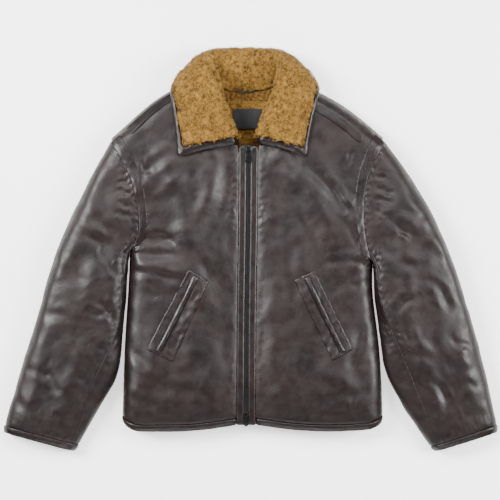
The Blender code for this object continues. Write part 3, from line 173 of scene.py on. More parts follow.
class Finish:
    """A material whose nodes are placed from the object's own coordinates, in metres."""

    def __init__(self, name, roughness, metallic=0.0, **constants):
        self.material = bpy.data.materials.new(name)
        self.material.use_nodes = True
        self.tree = self.material.node_tree
        self.shader = self.tree.nodes["Principled BSDF"]
        self.shader.inputs["Roughness"].default_value = roughness
        self.shader.inputs["Metallic"].default_value = metallic
        for key, value in constants.items():
            self.shader.inputs[key.replace("_", " ")].default_value = value
        self.place = self.tree.nodes.new("ShaderNodeTexCoord").outputs["Object"]
        self.height = None

    def feed(self, socket, value):
        """Links another node's output to the socket, or sets a plain value on it."""
        if hasattr(value, "is_linked"):
            self.tree.links.new(value, socket)
        else:
            socket.default_value = value

    def node(self, kind, **settings):
        """A shader node. Each setting is one of its sockets or of its properties."""
        made = self.tree.nodes.new("ShaderNode" + kind)
        for key, value in settings.items():
            if key in made.inputs:
                self.feed(made.inputs[key], value)
            else:
                setattr(made, key, value)
        return made

    def noise(self, scale, detail=3.0, distortion=0.0):
        """Uneven clouds from 0 to 1."""
        return self.node("TexNoise", Vector=self.place, Scale=scale, Detail=detail,
                         Distortion=distortion).outputs["Fac"]

    def cells(self, scale):
        """0 on the lines between cells, rising towards their middles."""
        return self.node("TexVoronoi", Vector=self.place, Scale=scale,
                         feature="DISTANCE_TO_EDGE").outputs["Distance"]

    def bands(self, scale, direction):
        """Soft stripes across one direction."""
        return self.node("TexWave", Vector=self.place, Scale=scale, bands_direction=direction).outputs["Fac"]

    def attribute(self, name):
        """A value that the mesh keeps for each of its points."""
        return self.node("Attribute", attribute_name=name).outputs["Fac"]

    def ramp(self, value, *stops):
        """Colours or grey levels, each at its own place between 0 and 1."""
        made = self.node("ValToRGB", Fac=value)
        elements = made.color_ramp.elements
        while len(elements) < len(stops):
            elements.new(0.5)
        for element, (where, colour) in zip(elements, stops):
            element.position = where
            element.color = (*colour, 1) if isinstance(colour, tuple) else (colour, colour, colour, 1)
        return made.outputs["Color"]

    def math(self, operation, first, second):
        """One sum of two values."""
        made = self.tree.nodes.new("ShaderNodeMath")
        made.operation = operation
        for socket, value in zip(made.inputs, (first, second)):
            self.feed(socket, value)
        return made.outputs["Value"]

    def colour(self, output):
        """Gives the surface its colour."""
        self.feed(self.shader.inputs["Base Color"], output)

    def roughness(self, output):
        """Gives the surface its roughness."""
        self.feed(self.shader.inputs["Roughness"], output)

    def bump(self, height, distance, strength):
        """Adds relief of so many millimetres to the relief there is."""
        made = self.node("Bump", Height=height, Distance=distance * MM, Strength=strength)
        if self.height is not None:
            self.feed(made.inputs["Normal"], self.height)
        self.height = made.outputs["Normal"]
        self.feed(self.shader.inputs["Normal"], self.height)


def leather(name, dark, light, rough):
    """Satin leather: soft colour clouds, worn patches, wrinkles, a pebbled grain and pores."""
    finish = Finish(name, rough, Specular_IOR_Level=0.31)
    clouds = finish.noise(scale=14.0, detail=5.0, distortion=0.4)
    wear = finish.noise(scale=60.0, detail=4.0)
    wrinkles = finish.noise(scale=90.0, detail=4.0, distortion=0.8)
    pebbles = finish.cells(scale=520.0)
    pores = finish.noise(scale=1500.0, detail=2.0)
    finish.colour(finish.ramp(clouds, (0.32, dark), (0.72, light)))
    finish.roughness(finish.ramp(wear, (0.3, rough - 0.05), (0.7, rough + 0.09)))
    finish.bump(wrinkles, distance=0.5, strength=0.5)
    finish.bump(pebbles, distance=0.07, strength=0.7)
    finish.bump(pores, distance=0.02, strength=0.6)
    return finish.material


def wool(name, shade, middle, light):
    """Curled pile: the attribute tone is 0 in the hollows and 1 at the tips. On the pile and its locks the
    darkening in the hollows and at the roots is painted shade; on the lining the tone changes at random.
    """
    finish = Finish(name, 0.85, Sheen_Weight=0.05, Sheen_Roughness=0.5, Specular_IOR_Level=0.12)
    drift = finish.math("MULTIPLY", finish.noise(scale=45.0), 0.5)
    tone = finish.math("ADD", finish.attribute("tone"), drift)
    curls = finish.noise(scale=700.0, distortion=1.5)
    # painted shade: the darker end of the ramp shows in the pile's hollows and at the locks' roots
    finish.colour(finish.ramp(tone, (0.28, shade), (0.68, middle), (0.933, light)))
    finish.bump(curls, distance=0.5, strength=0.6)
    return finish.material


BANDS_A_METRE = 6.3             # stripes of the band pattern in a metre at scale one


def woven(name, dark, light, pitch):
    """Cloth of crossed threads at a pitch in millimetres."""
    finish = Finish(name, 0.8, Sheen_Weight=0.2)
    scale = 1 / (pitch * MM) / BANDS_A_METRE
    threads = finish.math("MULTIPLY", finish.bands(scale, "X"), finish.bands(scale, "Y"))
    finish.colour(finish.ramp(threads, (0.1, dark), (0.8, light)))
    finish.bump(threads, distance=0.2, strength=0.6)
    return finish.material


def metal(name, colour, worn):
    """Blackened zinc, a little scuffed."""
    finish = Finish(name, 0.3, metallic=0.95)
    scuffs = finish.noise(scale=300.0, detail=5.0)
    finish.colour(finish.ramp(scuffs, (0.35, colour), (0.75, worn)))
    finish.roughness(finish.ramp(scuffs, (0.3, 0.26), (0.75, 0.44)))
    finish.bump(scuffs, distance=0.05, strength=0.4)
    return finish.material


LEATHER = leather("brown_leather", (0.0036, 0.0016, 0.0013), (0.0092, 0.0043, 0.0033), 0.43)
STRIP = leather("strip_leather", (0.0036, 0.0018, 0.0015), (0.0088, 0.0045, 0.0036), 0.37)
# The first wool colour is painted shade for the pile's hollows and the locks' roots.
WOOL = wool("tan_wool", (0.020, 0.0082, 0.0015), (0.100, 0.049, 0.0086), (0.212, 0.115, 0.024))
LINING = wool("clipped_wool", (0.028, 0.012, 0.0022), (0.085, 0.041, 0.0075), (0.135, 0.071, 0.015))
THREAD = woven("dark_thread", (0.010, 0.006, 0.005), (0.034, 0.022, 0.018), 0.5)
TAPE = woven("black_tape", (0.003, 0.003, 0.0032), (0.010, 0.010, 0.011), 0.8)
LABEL = woven("grey_label", (0.0045, 0.0046, 0.005), (0.014, 0.0145, 0.016), 0.7)
METAL = metal("black_metal", (0.012, 0.012, 0.013), (0.0312, 0.0312, 0.0338))


# Meshes

OUTER, INNER, WALL = 0, 1, 2    # sides of a solid: its outer face, its inner face and its edges
SHARP_ANGLE, SKEW_ANGLE = math.radians(50), math.radians(80)
SHADE_ANGLE = math.radians(60)
WELD = 1e-6


def add_field(mesh, name, values):
    """Keeps a value for each point of a mesh."""
    mesh.attributes.new(name, "FLOAT", "POINT").data.foreach_set("value", np.asarray(values, np.float32))


def make_piece(name, points, faces, material, **fields):
    """A mesh from points in millimetres. A field gives a value for each point."""
    mesh = bpy.data.meshes.new(name)
    points = np.asarray(points, np.float32) * MM
    faces = np.asarray(faces, np.int32)
    mesh.vertices.add(len(points))
    mesh.vertices.foreach_set("co", points.ravel())
    mesh.loops.add(faces.size)
    mesh.loops.foreach_set("vertex_index", faces.ravel())
    mesh.polygons.add(len(faces))
    mesh.polygons.foreach_set("loop_start", np.arange(0, faces.size, faces.shape[1], dtype=np.int32))
    mesh.update(calc_edges=True)
    for key, values in fields.items():
        add_field(mesh, key, values)
    mesh.materials.append(material)
    mesh.shade_smooth()
    piece = bpy.data.objects.new(name, mesh)
    bpy.context.scene.collection.objects.link(piece)
    return piece


def place(piece, slot, *nodes):
    """The piece moves with the jacket and stands for its solids, which it hides. The slot is not used."""
    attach(piece, BODY)
    if nodes:
        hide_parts(*nodes)
    return piece


def mark_sides(work):
    """Gives the faces of a wall the index of its outer side, its inner side or its edges."""
    work.faces.ensure_lookup_table()
    regions = []
    done = set()
    for seed in work.faces:
        if seed in done:
            continue
        done.add(seed)
        region = [seed]
        for face in region:
            for edge in face.edges:
                if edge.smooth:
                    for other in edge.link_faces:
                        if other not in done:
                            done.add(other)
                            region.append(other)
        regions.append(region)
    regions.sort(key=lambda region: -sum(face.calc_area() for face in region))
    for rank, region in enumerate(regions):
        for face in region:
            face.material_index = min(rank, WALL)


def refined(node, levels, crease=1.0, suffix="cloth"):
    """A finer mesh on a solid's form, with its edges as sharp as the crease says."""
    work = bmesh.new()
    work.from_mesh(NODES[node].data)
    bmesh.ops.remove_doubles(work, verts=work.verts, dist=WELD)
    sharp = work.edges.layers.float.new("crease_edge")
    for edge in work.edges:
        edge.smooth = edge.calc_face_angle(0.0) < SHARP_ANGLE
        edge[sharp] = 0.0 if edge.smooth else crease
    mark_sides(work)
    bmesh.ops.join_triangles(work, faces=work.faces, cmp_sharp=True, cmp_materials=True,
                             angle_face_threshold=SHARP_ANGLE, angle_shape_threshold=SKEW_ANGLE)
    mesh = bpy.data.meshes.new(node)
    work.to_mesh(mesh)
    work.free()
    piece = bpy.data.objects.new(f"{node}_{suffix}", mesh)
    bpy.context.scene.collection.objects.link(piece)
    finer = piece.modifiers.new("finer", "SUBSURF")
    finer.levels = levels
    finer.render_levels = levels
    shaped = bpy.data.meshes.new_from_object(piece.evaluated_get(bpy.context.evaluated_depsgraph_get()))
    piece.modifiers.clear()
    piece.data = shaped
    return piece


def gather(rows, kind, count, width=1):
    """Numbers of all the rows of a mesh, in an array of so many columns."""
    values = np.zeros(count * width, int if width == 1 else float)
    rows.foreach_get(kind, values)
    return values if width == 1 else values.reshape(-1, width)


def read(piece):
    """Points in millimetres, their normals, and which sides of its wall each point touches."""
    mesh = piece.data
    points = gather(mesh.vertices, "co", len(mesh.vertices), 3)
    normals = gather(mesh.vertex_normals, "vector", len(mesh.vertices), 3)
    corner = gather(mesh.loops, "vertex_index", len(mesh.loops))
    side = gather(mesh.polygons, "material_index", len(mesh.polygons))
    size = gather(mesh.polygons, "loop_total", len(mesh.polygons))
    touch = np.zeros((3, len(mesh.vertices)))
    touch[np.repeat(side, size), corner] = 1
    return points / MM, normals, touch


def write(piece, points, materials):
    """Puts the points back, keeps them off the floor, and gives the sides their materials."""
    mesh = piece.data
    points[:, 2] = np.maximum(points[:, 2], 0.0)
    mesh.vertices.foreach_set("co", (points * MM).ravel())
    side = gather(mesh.polygons, "material_index", len(mesh.polygons))
    mesh.materials.clear()
    for material in materials:
        mesh.materials.append(material)
    inner = len(materials) - 1
    mesh.polygons.foreach_set("material_index", np.where(side == INNER, inner, 0).astype(np.int32))
    mesh.shade_smooth()
    mesh.set_sharp_from_angle(angle=SHADE_ANGLE)
    mesh.update()


def border_distance(points, border):
    """Distance of each point from the nearest marked one."""
    marked = np.flatnonzero(border)
    tree = KDTree(len(marked))
    for i in marked:
        tree.insert(points[i], int(i))
    tree.balance()
    return np.array([tree.find(point)[2] for point in points])


# Leather form

CREASE_WOBBLE, CREASE_WAVES = 1.6, 9     # sideways waver of a crease, and its waves along the length
CREASE_FADE, FADE_WAVES = 0.22, 7        # share of the depth that comes and goes, and its waves
LIP_PLACE, LIP_SHARE = 1.9, 0.45         # the raised lips beside a trough, in widths and in depths


def crease_rise(x, y, creases):
    """Height that the creases add at each place."""
    rise = np.zeros(np.shape(x))
    for number, (x1, y1, x2, y2, bow, width, depth) in enumerate(zip(*creases.values())):
        length = math.hypot(x2 - x1, y2 - y1)
        share = ((x - x1) * (x2 - x1) + (y - y1) * (y2 - y1)) / length ** 2
        across = ((x - x1) * (y2 - y1) - (y - y1) * (x2 - x1)) / length
        middle = np.clip(4 * share * (1 - share), 0, 1)
        across = across - bow * middle - CREASE_WOBBLE * np.sin(CREASE_WAVES * share + number)
        strength = 1 - CREASE_FADE + CREASE_FADE * np.sin(FADE_WAVES * share + 2 * number)
        trough = np.exp(-(across / width) ** 2)
        lips = np.exp(-((np.abs(across) - LIP_PLACE * width) / width) ** 2)
        rise = rise - depth * np.sqrt(middle) * strength * (trough - LIP_SHARE * lips)
    return rise


WAVES, SHORTEST_WAVE, WAVE_SPREAD = 9, 0.7, 0.8     # the last two are shares of the size asked for
WAVE_BEND, BEND_RATE, HEIGHT_SHARE = 0.9, 0.45, 0.7


def ripple(points, size, seed):
    """Uneven waves of about one size."""
    draw = np.random.RandomState(seed)
    total = np.zeros(len(points))
    for _ in range(WAVES):
        angle, phase, bend = draw.rand(3) * 2 * math.pi
        wave = 2 * math.pi / (size * (SHORTEST_WAVE + WAVE_SPREAD * draw.rand()))
        along = points[:, 0] * math.cos(angle) + points[:, 1] * math.sin(angle) + points[:, 2] * HEIGHT_SHARE
        across = points[:, 1] * math.cos(angle) - points[:, 0] * math.sin(angle)
        total = total + np.sin(along * wave + phase + WAVE_BEND * np.sin(across * wave * BEND_RATE + bend))
    return total / math.sqrt(WAVES)


SEAM_DIP, SEAM_WIDTH = 0.9, 4.0
PUCKER_HEIGHT, PUCKER_SIZE, PUCKER_SEED, PUCKER_WIDTH = 0.55, 12.0, 21, 16.0
PUCKER_REACH, CREASE_REACH = 7.0, 22.0  # how far from a seam the puckers and the creases are full
SIDE_FADE = 2.2                         # how soon the creases fade where the leather turns upright
LINING_TONE, LINING_CHANGE, LINING_SIZE, LINING_SEED = 0.45, 0.25, 9.0, 30


def leather_rise(points, normals):
    """How far the creases and ripples lift the outer side."""
    rise = np.where(normals[:, 2] > 0, crease_rise(points[:, 0], points[:, 1], CREASES_UP),
                    crease_rise(points[:, 0], points[:, 1], CREASES_DOWN))
    rise = rise * ease(np.abs(normals[:, 2]) * SIDE_FADE)
    for size, height, seed in zip(*RIPPLES.values()):
        rise = rise + height * ripple(points, size, int(seed))
    return rise


def panel(node, levels=3, creased=True):
    """A leather panel, rolled down at its seams. A creased one has wool on its inner side."""
    piece = refined(node, levels)
    points, normals, touch = read(piece)
    border = (touch[OUTER] * touch[WALL]) > 0
    outer = (touch[OUTER] > 0) & (touch[INNER] == 0)
    distance = border_distance(points, border)
    rise = -SEAM_DIP * np.exp(-(distance / SEAM_WIDTH) ** 2)
    if creased:
        rise = rise + leather_rise(points, normals) * ease(distance / CREASE_REACH)
        puckers = PUCKER_HEIGHT * ripple(points, PUCKER_SIZE, PUCKER_SEED)
        rise = rise + puckers * np.exp(-(distance / PUCKER_WIDTH) ** 2) * ease(distance / PUCKER_REACH)
    points = points + normals * (rise * outer)[:, None]
    write(piece, points, [LEATHER, LINING] if creased else [LEATHER])
    if creased:
        change = LINING_CHANGE * ripple(points, LINING_SIZE, LINING_SEED)
        add_field(piece.data, "tone", LINING_TONE + change)
    return place(piece, "leather", node)


LONG_WAVE, LONG_SEED = 14.0, 5
SHORT_WAVE, SHORT_SEED, SHORT_SHARE = 5.0, 9, 0.5
UPRIGHT = (0.0, 0.0, 1.0)


def strip(node, slot="strip", levels=2, crease=0.35, material=STRIP, wave=0.22, follow=False):
    """A narrow piece with rounded edges and a slightly uneven face. It may follow the panel's creases."""
    piece = refined(node, levels, crease)
    points, normals, _ = read(piece)
    if follow:
        points[:, 2] += leather_rise(points, np.tile(UPRIGHT, (len(points), 1)))
    uneven = ripple(points, LONG_WAVE, LONG_SEED) + SHORT_SHARE * ripple(points, SHORT_WAVE, SHORT_SEED)
    write(piece, points + normals * (wave * uneven)[:, None], [material])
    return place(piece, slot, node)


# Sewing

STITCHES = []
DROP_FROM = 160.0               # height from which a line is laid on the pieces below
LINE_STEP = 4.0
STITCH_LIFT, STITCH_SINK = 0.12, 0.25
STITCH_FACES = np.array([(0, 2, 1), (0, 3, 2), (0, 4, 3), (0, 1, 4),
                         (5, 1, 2), (5, 2, 3), (5, 3, 4), (5, 4, 1)])


def drape(plan, trees):
    """Lays points of a plan on the pieces below. Points with nothing below are left out."""
    line = []
    for x, y in plan:
        hits = [tree.ray_cast(Vector((x, y, DROP_FROM)) * MM, Vector((0, 0, -1)))[0] for tree in trees]
        heights = [hit.z for hit in hits if hit is not None]
        if heights:
            line.append((x, y, max(heights) / MM))
    return np.array(line)


def lengths_along(line):
    """Distance of each point of a line from its start."""
    return np.append(0, np.linalg.norm(np.diff(line, axis=0), axis=1).cumsum())


def places_along(line, where):
    """The line's points at these distances from its start."""
    knots = lengths_along(line)
    return np.column_stack([np.interp(where, knots, line[:, axis]) for axis in range(line.shape[1])])


def spread(plan):
    """Even points along a drawn line."""
    plan = np.asarray(plan, float)
    total = lengths_along(plan)[-1]
    return places_along(plan, np.linspace(0, total, max(2, int(total / LINE_STEP))))


def sew(plan, trees, pitch=4.4, length=3.2, half=0.45):
    """A row of stitches along a line, each a short grain of thread."""
    line = drape(spread(plan), trees)
    if len(line) < 3:
        return
    centres = np.arange(pitch / 2, lengths_along(line)[-1] - pitch / 2, pitch)
    start = places_along(line, centres - length / 2)
    end = places_along(line, centres + length / 2)
    side = unit(np.cross(unit(end - start), UPRIGHT))
    up = np.cross(side, unit(end - start))
    middle = places_along(line, centres) + up * STITCH_LIFT
    sink = up * STITCH_SINK
    points = np.stack([start - sink, middle + side * half, middle + up * half, middle - side * half,
                       middle - up * half, end - sink], axis=1)
    STITCHES.append(points.reshape(-1, 3))


def repeated(faces, points_each, count):
    """The faces of one small form, for so many forms one after another."""
    faces = faces[None] + points_each * np.arange(count)[:, None, None]
    return faces.reshape(-1, faces.shape[-1])


def make_stitches(name, slot):
    """One piece of thread from all the rows of stitches drawn so far."""
    points = np.concatenate(STITCHES)
    STITCHES.clear()
    return place(make_piece(name, points, repeated(STITCH_FACES, 6, len(points) // 6), THREAD), slot)


def trees_of(*pieces):
    """Search trees of the pieces' surfaces."""
    depsgraph = bpy.context.evaluated_depsgraph_get()
    return [BVHTree.FromObject(piece, depsgraph) for piece in pieces]


def beside(plan, offset):
    """A drawn line moved sideways by an offset."""
    plan = np.asarray(plan, float)
    along = unit(np.gradient(plan, axis=0))
    return plan + offset * np.column_stack([-along[:, 1], along[:, 0]])


def toward(first, second, distance):
    """The point at a distance from the first one on the way to the second."""
    first = np.array(first, float)
    return first + unit(np.array(second, float) - first) * distance


# Wool

NOISE_SEED = 11
noise.seed_set(NOISE_SEED)
CURL_WARP, WARP_SIZE, CURL_GAP = 0.55, 0.7, 0.75
FINE_SHARE, FINE_SIZE, FINE_SHIFT = 0.38, 0.52, 31.0
# Painted shade: the pile's tone is low in its hollows and rises to the tips.
HOLLOW_SHADE_TONE, SHADE_TO_TIP_RISE = 0.12, 0.62     # tone in the hollows of the pile, and its rise to the tips
BASE_RISE = 0.75                        # share of the pile's depth that its curls fill


def lumps(points, size):
    """Height of rounded curls packed side by side, 0 between them and 1 on top."""
    gap = np.zeros(len(points))
    for i, point in enumerate(points):
        at = Vector(point) / size
        at = at + noise.noise_vector(at * WARP_SIZE) * CURL_WARP
        gap[i] = noise.voronoi(at)[0][0]
    return np.clip(1 - (gap / CURL_GAP) ** 2, 0, 1)


def sides_near(piece, places):
    """Which side of a refined piece's wall is nearest to each place."""
    polygons = piece.data.polygons
    tree = KDTree(len(polygons))
    for polygon in polygons:
        tree.insert(polygon.center / MM, polygon.index)
    tree.balance()
    return np.array([polygons[tree.find(place)[1]].material_index for place in places])


def fleece(node, locks, depth, curl, seed):
    """Curled wool on a solid's form: a lumpy base, and locks that end at the solid's face."""
    base = refined(node, 3, suffix="pile")
    points, normals, touch = read(base)
    shown = (touch[INNER] == 0)
    fine = lumps(points + FINE_SHIFT, curl * FINE_SIZE)
    height = (1 - FINE_SHARE) * lumps(points, curl) + FINE_SHARE * fine
    mesh = NODES[node].data
    mesh.calc_loop_triangles()
    corners = np.array([[mesh.vertices[k].co for k in t.vertices] for t in mesh.loop_triangles]) / MM
    hidden = sides_near(base, corners.mean(axis=1)) == INNER
    # painted shade in the hollows between the curls
    add_field(base.data, "tone", HOLLOW_SHADE_TONE + SHADE_TO_TIP_RISE * height)
    write(base, points - normals * (depth * (1 - BASE_RISE * height) * shown)[:, None], [WOOL])
    place(base, "wool", node)

    across = np.cross(corners[:, 1] - corners[:, 0], corners[:, 2] - corners[:, 0])
    area = np.where(hidden, 0, np.linalg.norm(across, axis=1))
    draw = np.random.RandomState(seed)
    picked = draw.choice(len(corners), locks, p=area / area.sum())
    u = np.sqrt(draw.rand(locks))
    v = draw.rand(locks)
    weights = np.column_stack([1 - u, u * (1 - v), u * v])[:, :, None]
    face = (corners[picked] * weights).sum(axis=1)
    make_locks(f"{node}_locks", face, unit(across)[picked], depth, curl, draw)


# Places along a lock from its root: forward and sway in lengths, rise in reaches, wide in half widths.
LOCK_STEPS = (
    (0.0, 0.0, 0.0, 0.8),
    (0.2, 0.62, 0.3, 1.0),
    (0.55, 1.0, 0.75, 0.85),
    (0.95, 0.9, 0.5, 0.6),
    (1.15, 0.6, 0.0, 0.15),
)
LOCK_FACES = np.array([(0, 1, 3, 2), (2, 3, 5, 4), (4, 5, 7, 6), (6, 7, 9, 8)])
LOCK_REACH, LOCK_LONG, LOCK_HALF = (0.55, 1.0), (2.6, 5.2), (0.34, 0.62)
LOCK_SPIN, LEAN_SIZE, SWAY_SHARE = 0.8, 1.3, 0.5
LOW_CURL = 0.45                 # reach of a lock between two curls, as a share of one on top
# Painted shade and light on the locks: dark at the root and between curls, paler towards the tip and on the
# curls' tops; the spread is random.
ROOT_SHADE_TONE, TIP_LIGHT_RISE, TONE_SOON, TONE_SPREAD, CURL_LIGHT_AND_SHADE = 0.1, 0.65, 1.1, (-0.10, 0.16), 0.12
LOCK_FLOOR = 0.2


def make_locks(name, face, up, depth, curl, draw):
    """Tapered ribbons that rise through the pile, lean with their neighbours and turn over at the tip."""
    count = len(face)
    lean = np.array([noise.noise_vector(Vector(p) / (curl * LEAN_SIZE)) for p in face])
    lean = unit(lean - (lean * up).sum(axis=1, keepdims=True) * up)
    side = np.cross(up, lean)
    high = lumps(face, curl)
    turn = draw.uniform(-1, 1, count)[:, None]
    spin = draw.uniform(-LOCK_SPIN, LOCK_SPIN, count)[:, None]
    lean, side = unit(lean + side * spin), unit(side - lean * spin)
    reach = (draw.uniform(*LOCK_REACH, count) * (LOW_CURL + (1 - LOW_CURL) * high))[:, None] * depth
    length = draw.uniform(*LOCK_LONG, count)[:, None]
    half = draw.uniform(*LOCK_HALF, count)[:, None]
    rungs = []
    tones = []
    root = face - up * depth
    for forward, rise, sway, wide in LOCK_STEPS:
        middle = root + up * reach * rise + lean * length * forward + side * turn * sway * length * SWAY_SHARE
        rungs += [middle + side * half * wide, middle - side * half * wide]
        # painted shade at the root and between curls, painted light towards the tip and on the curls' tops
        tone = ROOT_SHADE_TONE + TIP_LIGHT_RISE * min(1, rise * TONE_SOON) + draw.uniform(*TONE_SPREAD, count)
        tones += [tone + CURL_LIGHT_AND_SHADE * (high - 0.5)] * 2
    points = np.stack(rungs, axis=1).reshape(-1, 3)
    points[:, 2] = np.maximum(points[:, 2], LOCK_FLOOR)
    tone = np.clip(np.stack(tones, axis=1).reshape(-1), 0, 1)
    faces = repeated(LOCK_FACES, 2 * len(LOCK_STEPS), count)
    place(make_piece(name, points, faces, WOOL, tone=tone), "wool")


# Leather panels and strips

for node in ("front_left", "front_right", "back", "sleeve_top_left", "sleeve_top_right",
             "sleeve_under_left", "sleeve_under_right"):
    panel(node)
panel("collar_leather", levels=2, creased=False)

SIDE_STRIPS = (
    ("armhole_strip", {}),
    ("shoulder_strip", {}),
    ("pocket_welt", {"follow": True}),
    ("hem_band", {}),
    ("cuff_band", {}),
    ("placket", {"crease": 0.5}),
    ("pocket_patch", {"slot": "leather", "crease": 0.6, "material": LEATHER, "wave": 0.5, "follow": True}),
    ("zip_tape", {"slot": "tape", "crease": 1.0, "material": TAPE, "wave": 0.0}),
)
TRIM = {}
for side in SIDES:
    for node, settings in SIDE_STRIPS:
        TRIM[f"{node}_{side}"] = strip(f"{node}_{side}", **settings)
strip("hem_band_back")
strip("collar_edge", levels=3)
strip("hanger_loop", slot="tape", levels=3, crease=0.0, material=TAPE, wave=0.15)
TRIM["neck_label"] = strip("neck_label", slot="label", levels=3, crease=0.8, material=LABEL, wave=0.25)


# Zip teeth

TOOTH_PITCH, TOOTH_HALF, TOOTH_LONG, TOOTH_TALL = 2.6, 0.75, 2.7, 1.5
TOOTH_OVERLAP = 0.55            # how far a tooth reaches past the zip's middle line
TOOTH_BEVEL = 0.28
CORE_DROP = 0.9                 # the core's depth below the chain's face
FIRST_TOOTH, LAST_TOOTH = ZIP_BOTTOM + 2, ZIP_TOP - 1
BOX_FACES = np.array([(0, 3, 2, 1), (4, 5, 6, 7), (0, 1, 5, 4), (1, 2, 6, 5), (2, 3, 7, 6), (3, 0, 4, 7)])


def make_core():
    """The ribbon between the teeth."""
    core = refined("zip_chain", 1, suffix="core")
    points, _, _ = read(core)
    points[:, 2] -= CORE_DROP
    write(core, points, [TAPE])
    place(core, "metal")


def make_teeth():
    """Two rows of teeth that mesh along the zip line."""
    chain = trees_of(NODES["zip_chain"])
    corners = []
    for row, side in enumerate(SIDES.values()):
        y = np.arange(FIRST_TOOTH + row * TOOTH_PITCH / 2, LAST_TOOTH, TOOTH_PITCH)
        for x, along, top in drape(np.column_stack([zip_x(y), y]), chain):
            inner, outer = x - side * TOOTH_OVERLAP, x + side * TOOTH_LONG
            for z, trim in ((top - TOOTH_TALL, 0.0), (top, TOOTH_BEVEL)):
                low, high = along - TOOTH_HALF + trim, along + TOOTH_HALF - trim
                near, far = inner + side * trim, outer - side * trim
                corners += [(near, low, z), (far, low, z), (far, high, z), (near, high, z)]
    teeth = make_piece("zip_teeth", corners, repeated(BOX_FACES, 8, len(corners) // 8), METAL)
    work = bmesh.new()
    work.from_mesh(teeth.data)
    bmesh.ops.recalc_face_normals(work, faces=work.faces)
    work.to_mesh(teeth.data)
    work.free()
    teeth.data.shade_flat()
    place(teeth, "metal", "zip_chain")


make_core()
make_teeth()
for node in ("slider_top", "slider_bottom", "pull_tab_top", "pull_tab_bottom"):
    NODES[node].data.materials.clear()
    NODES[node].data.materials.append(METAL)


# Stitches

STRIP_ROWS = (PLACKET_IN + 1.7, PLACKET_OUT - 1.7)
ARMHOLE_ROWS = (-7.5, -2.5, 3.0)
SHOULDER_ROWS = (-2.6, 2.6)
POCKET_ROWS = (2.4, 7.2)
HEM_ROW = 12.4                  # height of the row over the hem line
HEM_START = {"right": 40, "left": 0}    # where each front's hem row begins, to the wearer's own side
LABEL_CORNERS = ((-33, 279), (21, 279), (21, 243), (-33, 243), (-33, 279))


def sew_strip(side):
    """Two rows along the front edge strip."""
    trees = trees_of(TRIM[f"placket_{side}"])
    y = np.linspace(ZIP_BOTTOM + 3, ZIP_TOP - 2, 40)
    for distance in STRIP_ROWS:
        sew(np.column_stack([zip_x(y) + SIDES[side] * distance, y]), trees)


def sew_armhole(side):
    """Rows along the strip over the armhole seam."""
    trees = trees_of(TRIM[f"armhole_strip_{side}"])
    curve = ARMHOLE[side]
    y = np.linspace(curve["y"][0], curve["y"][-1], 30)
    line = np.column_stack([smooth(y, curve["y"], curve["x"]), y])
    for offset in ARMHOLE_ROWS:
        sew(beside(line, offset), trees)


def sew_shoulder(side):
    """Rows along the strip over the shoulder seam."""
    trees = trees_of(TRIM[f"shoulder_strip_{side}"])
    line = np.column_stack([SHOULDER[side]["x"], SHOULDER[side]["y"]])
    for offset in SHOULDER_ROWS:
        sew(beside(line, offset), trees)


def sew_hem(side):
    """One row along the top of the hem band."""
    reach = HEM_LINE["x"][HEM_LINE["x"] * SIDES[side] > HEM_START[side]]
    line = np.column_stack([reach, smooth(reach, HEM_LINE["x"], HEM_LINE["y"])])
    sew(line + (0, HEM_ROW), trees_of(TRIM[f"hem_band_{side}"]))


def sew_pocket(side):
    """Two rows round the pocket, but for its open inner edge."""
    trees = trees_of(TRIM[f"pocket_patch_{side}"], TRIM[f"pocket_welt_{side}"])
    outer_top, inner_top, inner_low, outer_low = POCKETS[side]
    for inset in POCKET_ROWS:
        top_out, top_in = toward(outer_top, outer_low, inset), toward(inner_top, inner_low, inset)
        low_out, low_in = toward(outer_low, outer_top, inset), toward(inner_low, inner_top, inset)
        sew([top_in, toward(top_out, top_in, inset), toward(low_out, low_in, inset), low_in], trees)


for side in SIDES:
    sew_strip(side)
    sew_armhole(side)
    sew_shoulder(side)
    sew_hem(side)
    sew(np.array(CUFF[side]), trees_of(TRIM[f"cuff_band_{side}"]))
    sew_pocket(side)
make_stitches("stitches", "strip")
sew(np.array(LABEL_CORNERS), trees_of(TRIM["neck_label"]), pitch=2.6, length=1.8, half=0.28)
make_stitches("label_stitches", "label")


# Wool

fleece("collar_wool", locks=17000, depth=4.2, curl=9.5, seed=41)
fleece("neck_wool", locks=6000, depth=3.0, curl=8.0, seed=43)
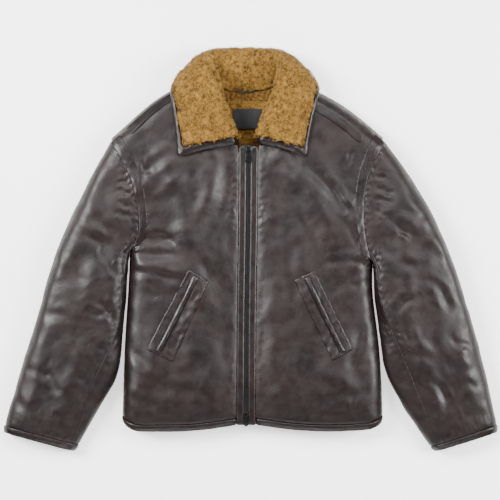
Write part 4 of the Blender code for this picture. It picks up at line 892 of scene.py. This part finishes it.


# Floor, lights and camera

def add_light(name, place_at, size, watts):
    """A soft rectangle of light that faces the jacket."""
    light = bpy.data.lights.new(name, "AREA")
    light.shape = "RECTANGLE"
    light.size, light.size_y = size
    light.energy = watts
    holder = bpy.data.objects.new(name, light)
    holder.location = place_at
    holder.rotation_euler = (Vector((0, 0, 0)) - Vector(place_at)).to_track_quat("-Z", "Y").to_euler()
    bpy.context.scene.collection.objects.link(holder)


def make_floor(half):
    """A plain pale floor."""
    mesh = bpy.data.meshes.new("floor")
    corners = [(-half, -half, 0), (half, -half, 0), (half, half, 0), (-half, half, 0)]
    mesh.from_pydata(corners, [], [(0, 1, 2, 3)])
    floor = bpy.data.objects.new("floor", mesh)
    bpy.context.scene.collection.objects.link(floor)
    finish = Finish("pale_floor", 0.9, Emission_Color=(1, 1, 1, 1), Emission_Strength=0.9)
    clouds = finish.noise(scale=3.0)
    finish.colour(finish.ramp(clouds, (0.3, (0.94, 0.94, 0.94)), (0.7, (0.96, 0.96, 0.96))))
    mesh.materials.append(finish.material)


make_floor(half=6.0)
add_light("left_softbox", place_at=(-2.2, 0.9, 2.5), size=(1.1, 1.7), watts=300)
add_light("right_softbox", place_at=(2.5, 0.3, 2.2), size=(1.1, 1.9), watts=215)
add_light("back_softbox", place_at=(0.3, 2.0, 3.0), size=(2.2, 1.0), watts=105)
add_light("front_softbox", place_at=(0.0, -3.0, 2.0), size=(2.6, 1.2), watts=70)

SKY_LIGHT = 0.2
world = bpy.data.worlds.new("studio")
world.use_nodes = True
world.node_tree.nodes["Background"].inputs["Color"].default_value = (1, 1, 1, 1)
world.node_tree.nodes["Background"].inputs["Strength"].default_value = SKY_LIGHT
bpy.context.scene.world = world

# The frame is this wide at the height of the jacket's outline.
CAMERA_HEIGHT, FRAME_WIDTH, OUTLINE_HEIGHT, SENSOR_WIDTH = 5.0, 1.0, 0.03, 36
FRAME_CENTRE = (-0.001, -0.0016)
lens = bpy.data.cameras.new("camera")
lens.sensor_width = SENSOR_WIDTH
lens.lens = SENSOR_WIDTH * (CAMERA_HEIGHT - OUTLINE_HEIGHT) / FRAME_WIDTH
camera = bpy.data.objects.new("camera", lens)
camera.location = (*FRAME_CENTRE, CAMERA_HEIGHT)
bpy.context.scene.collection.objects.link(camera)
bpy.context.scene.camera = camera
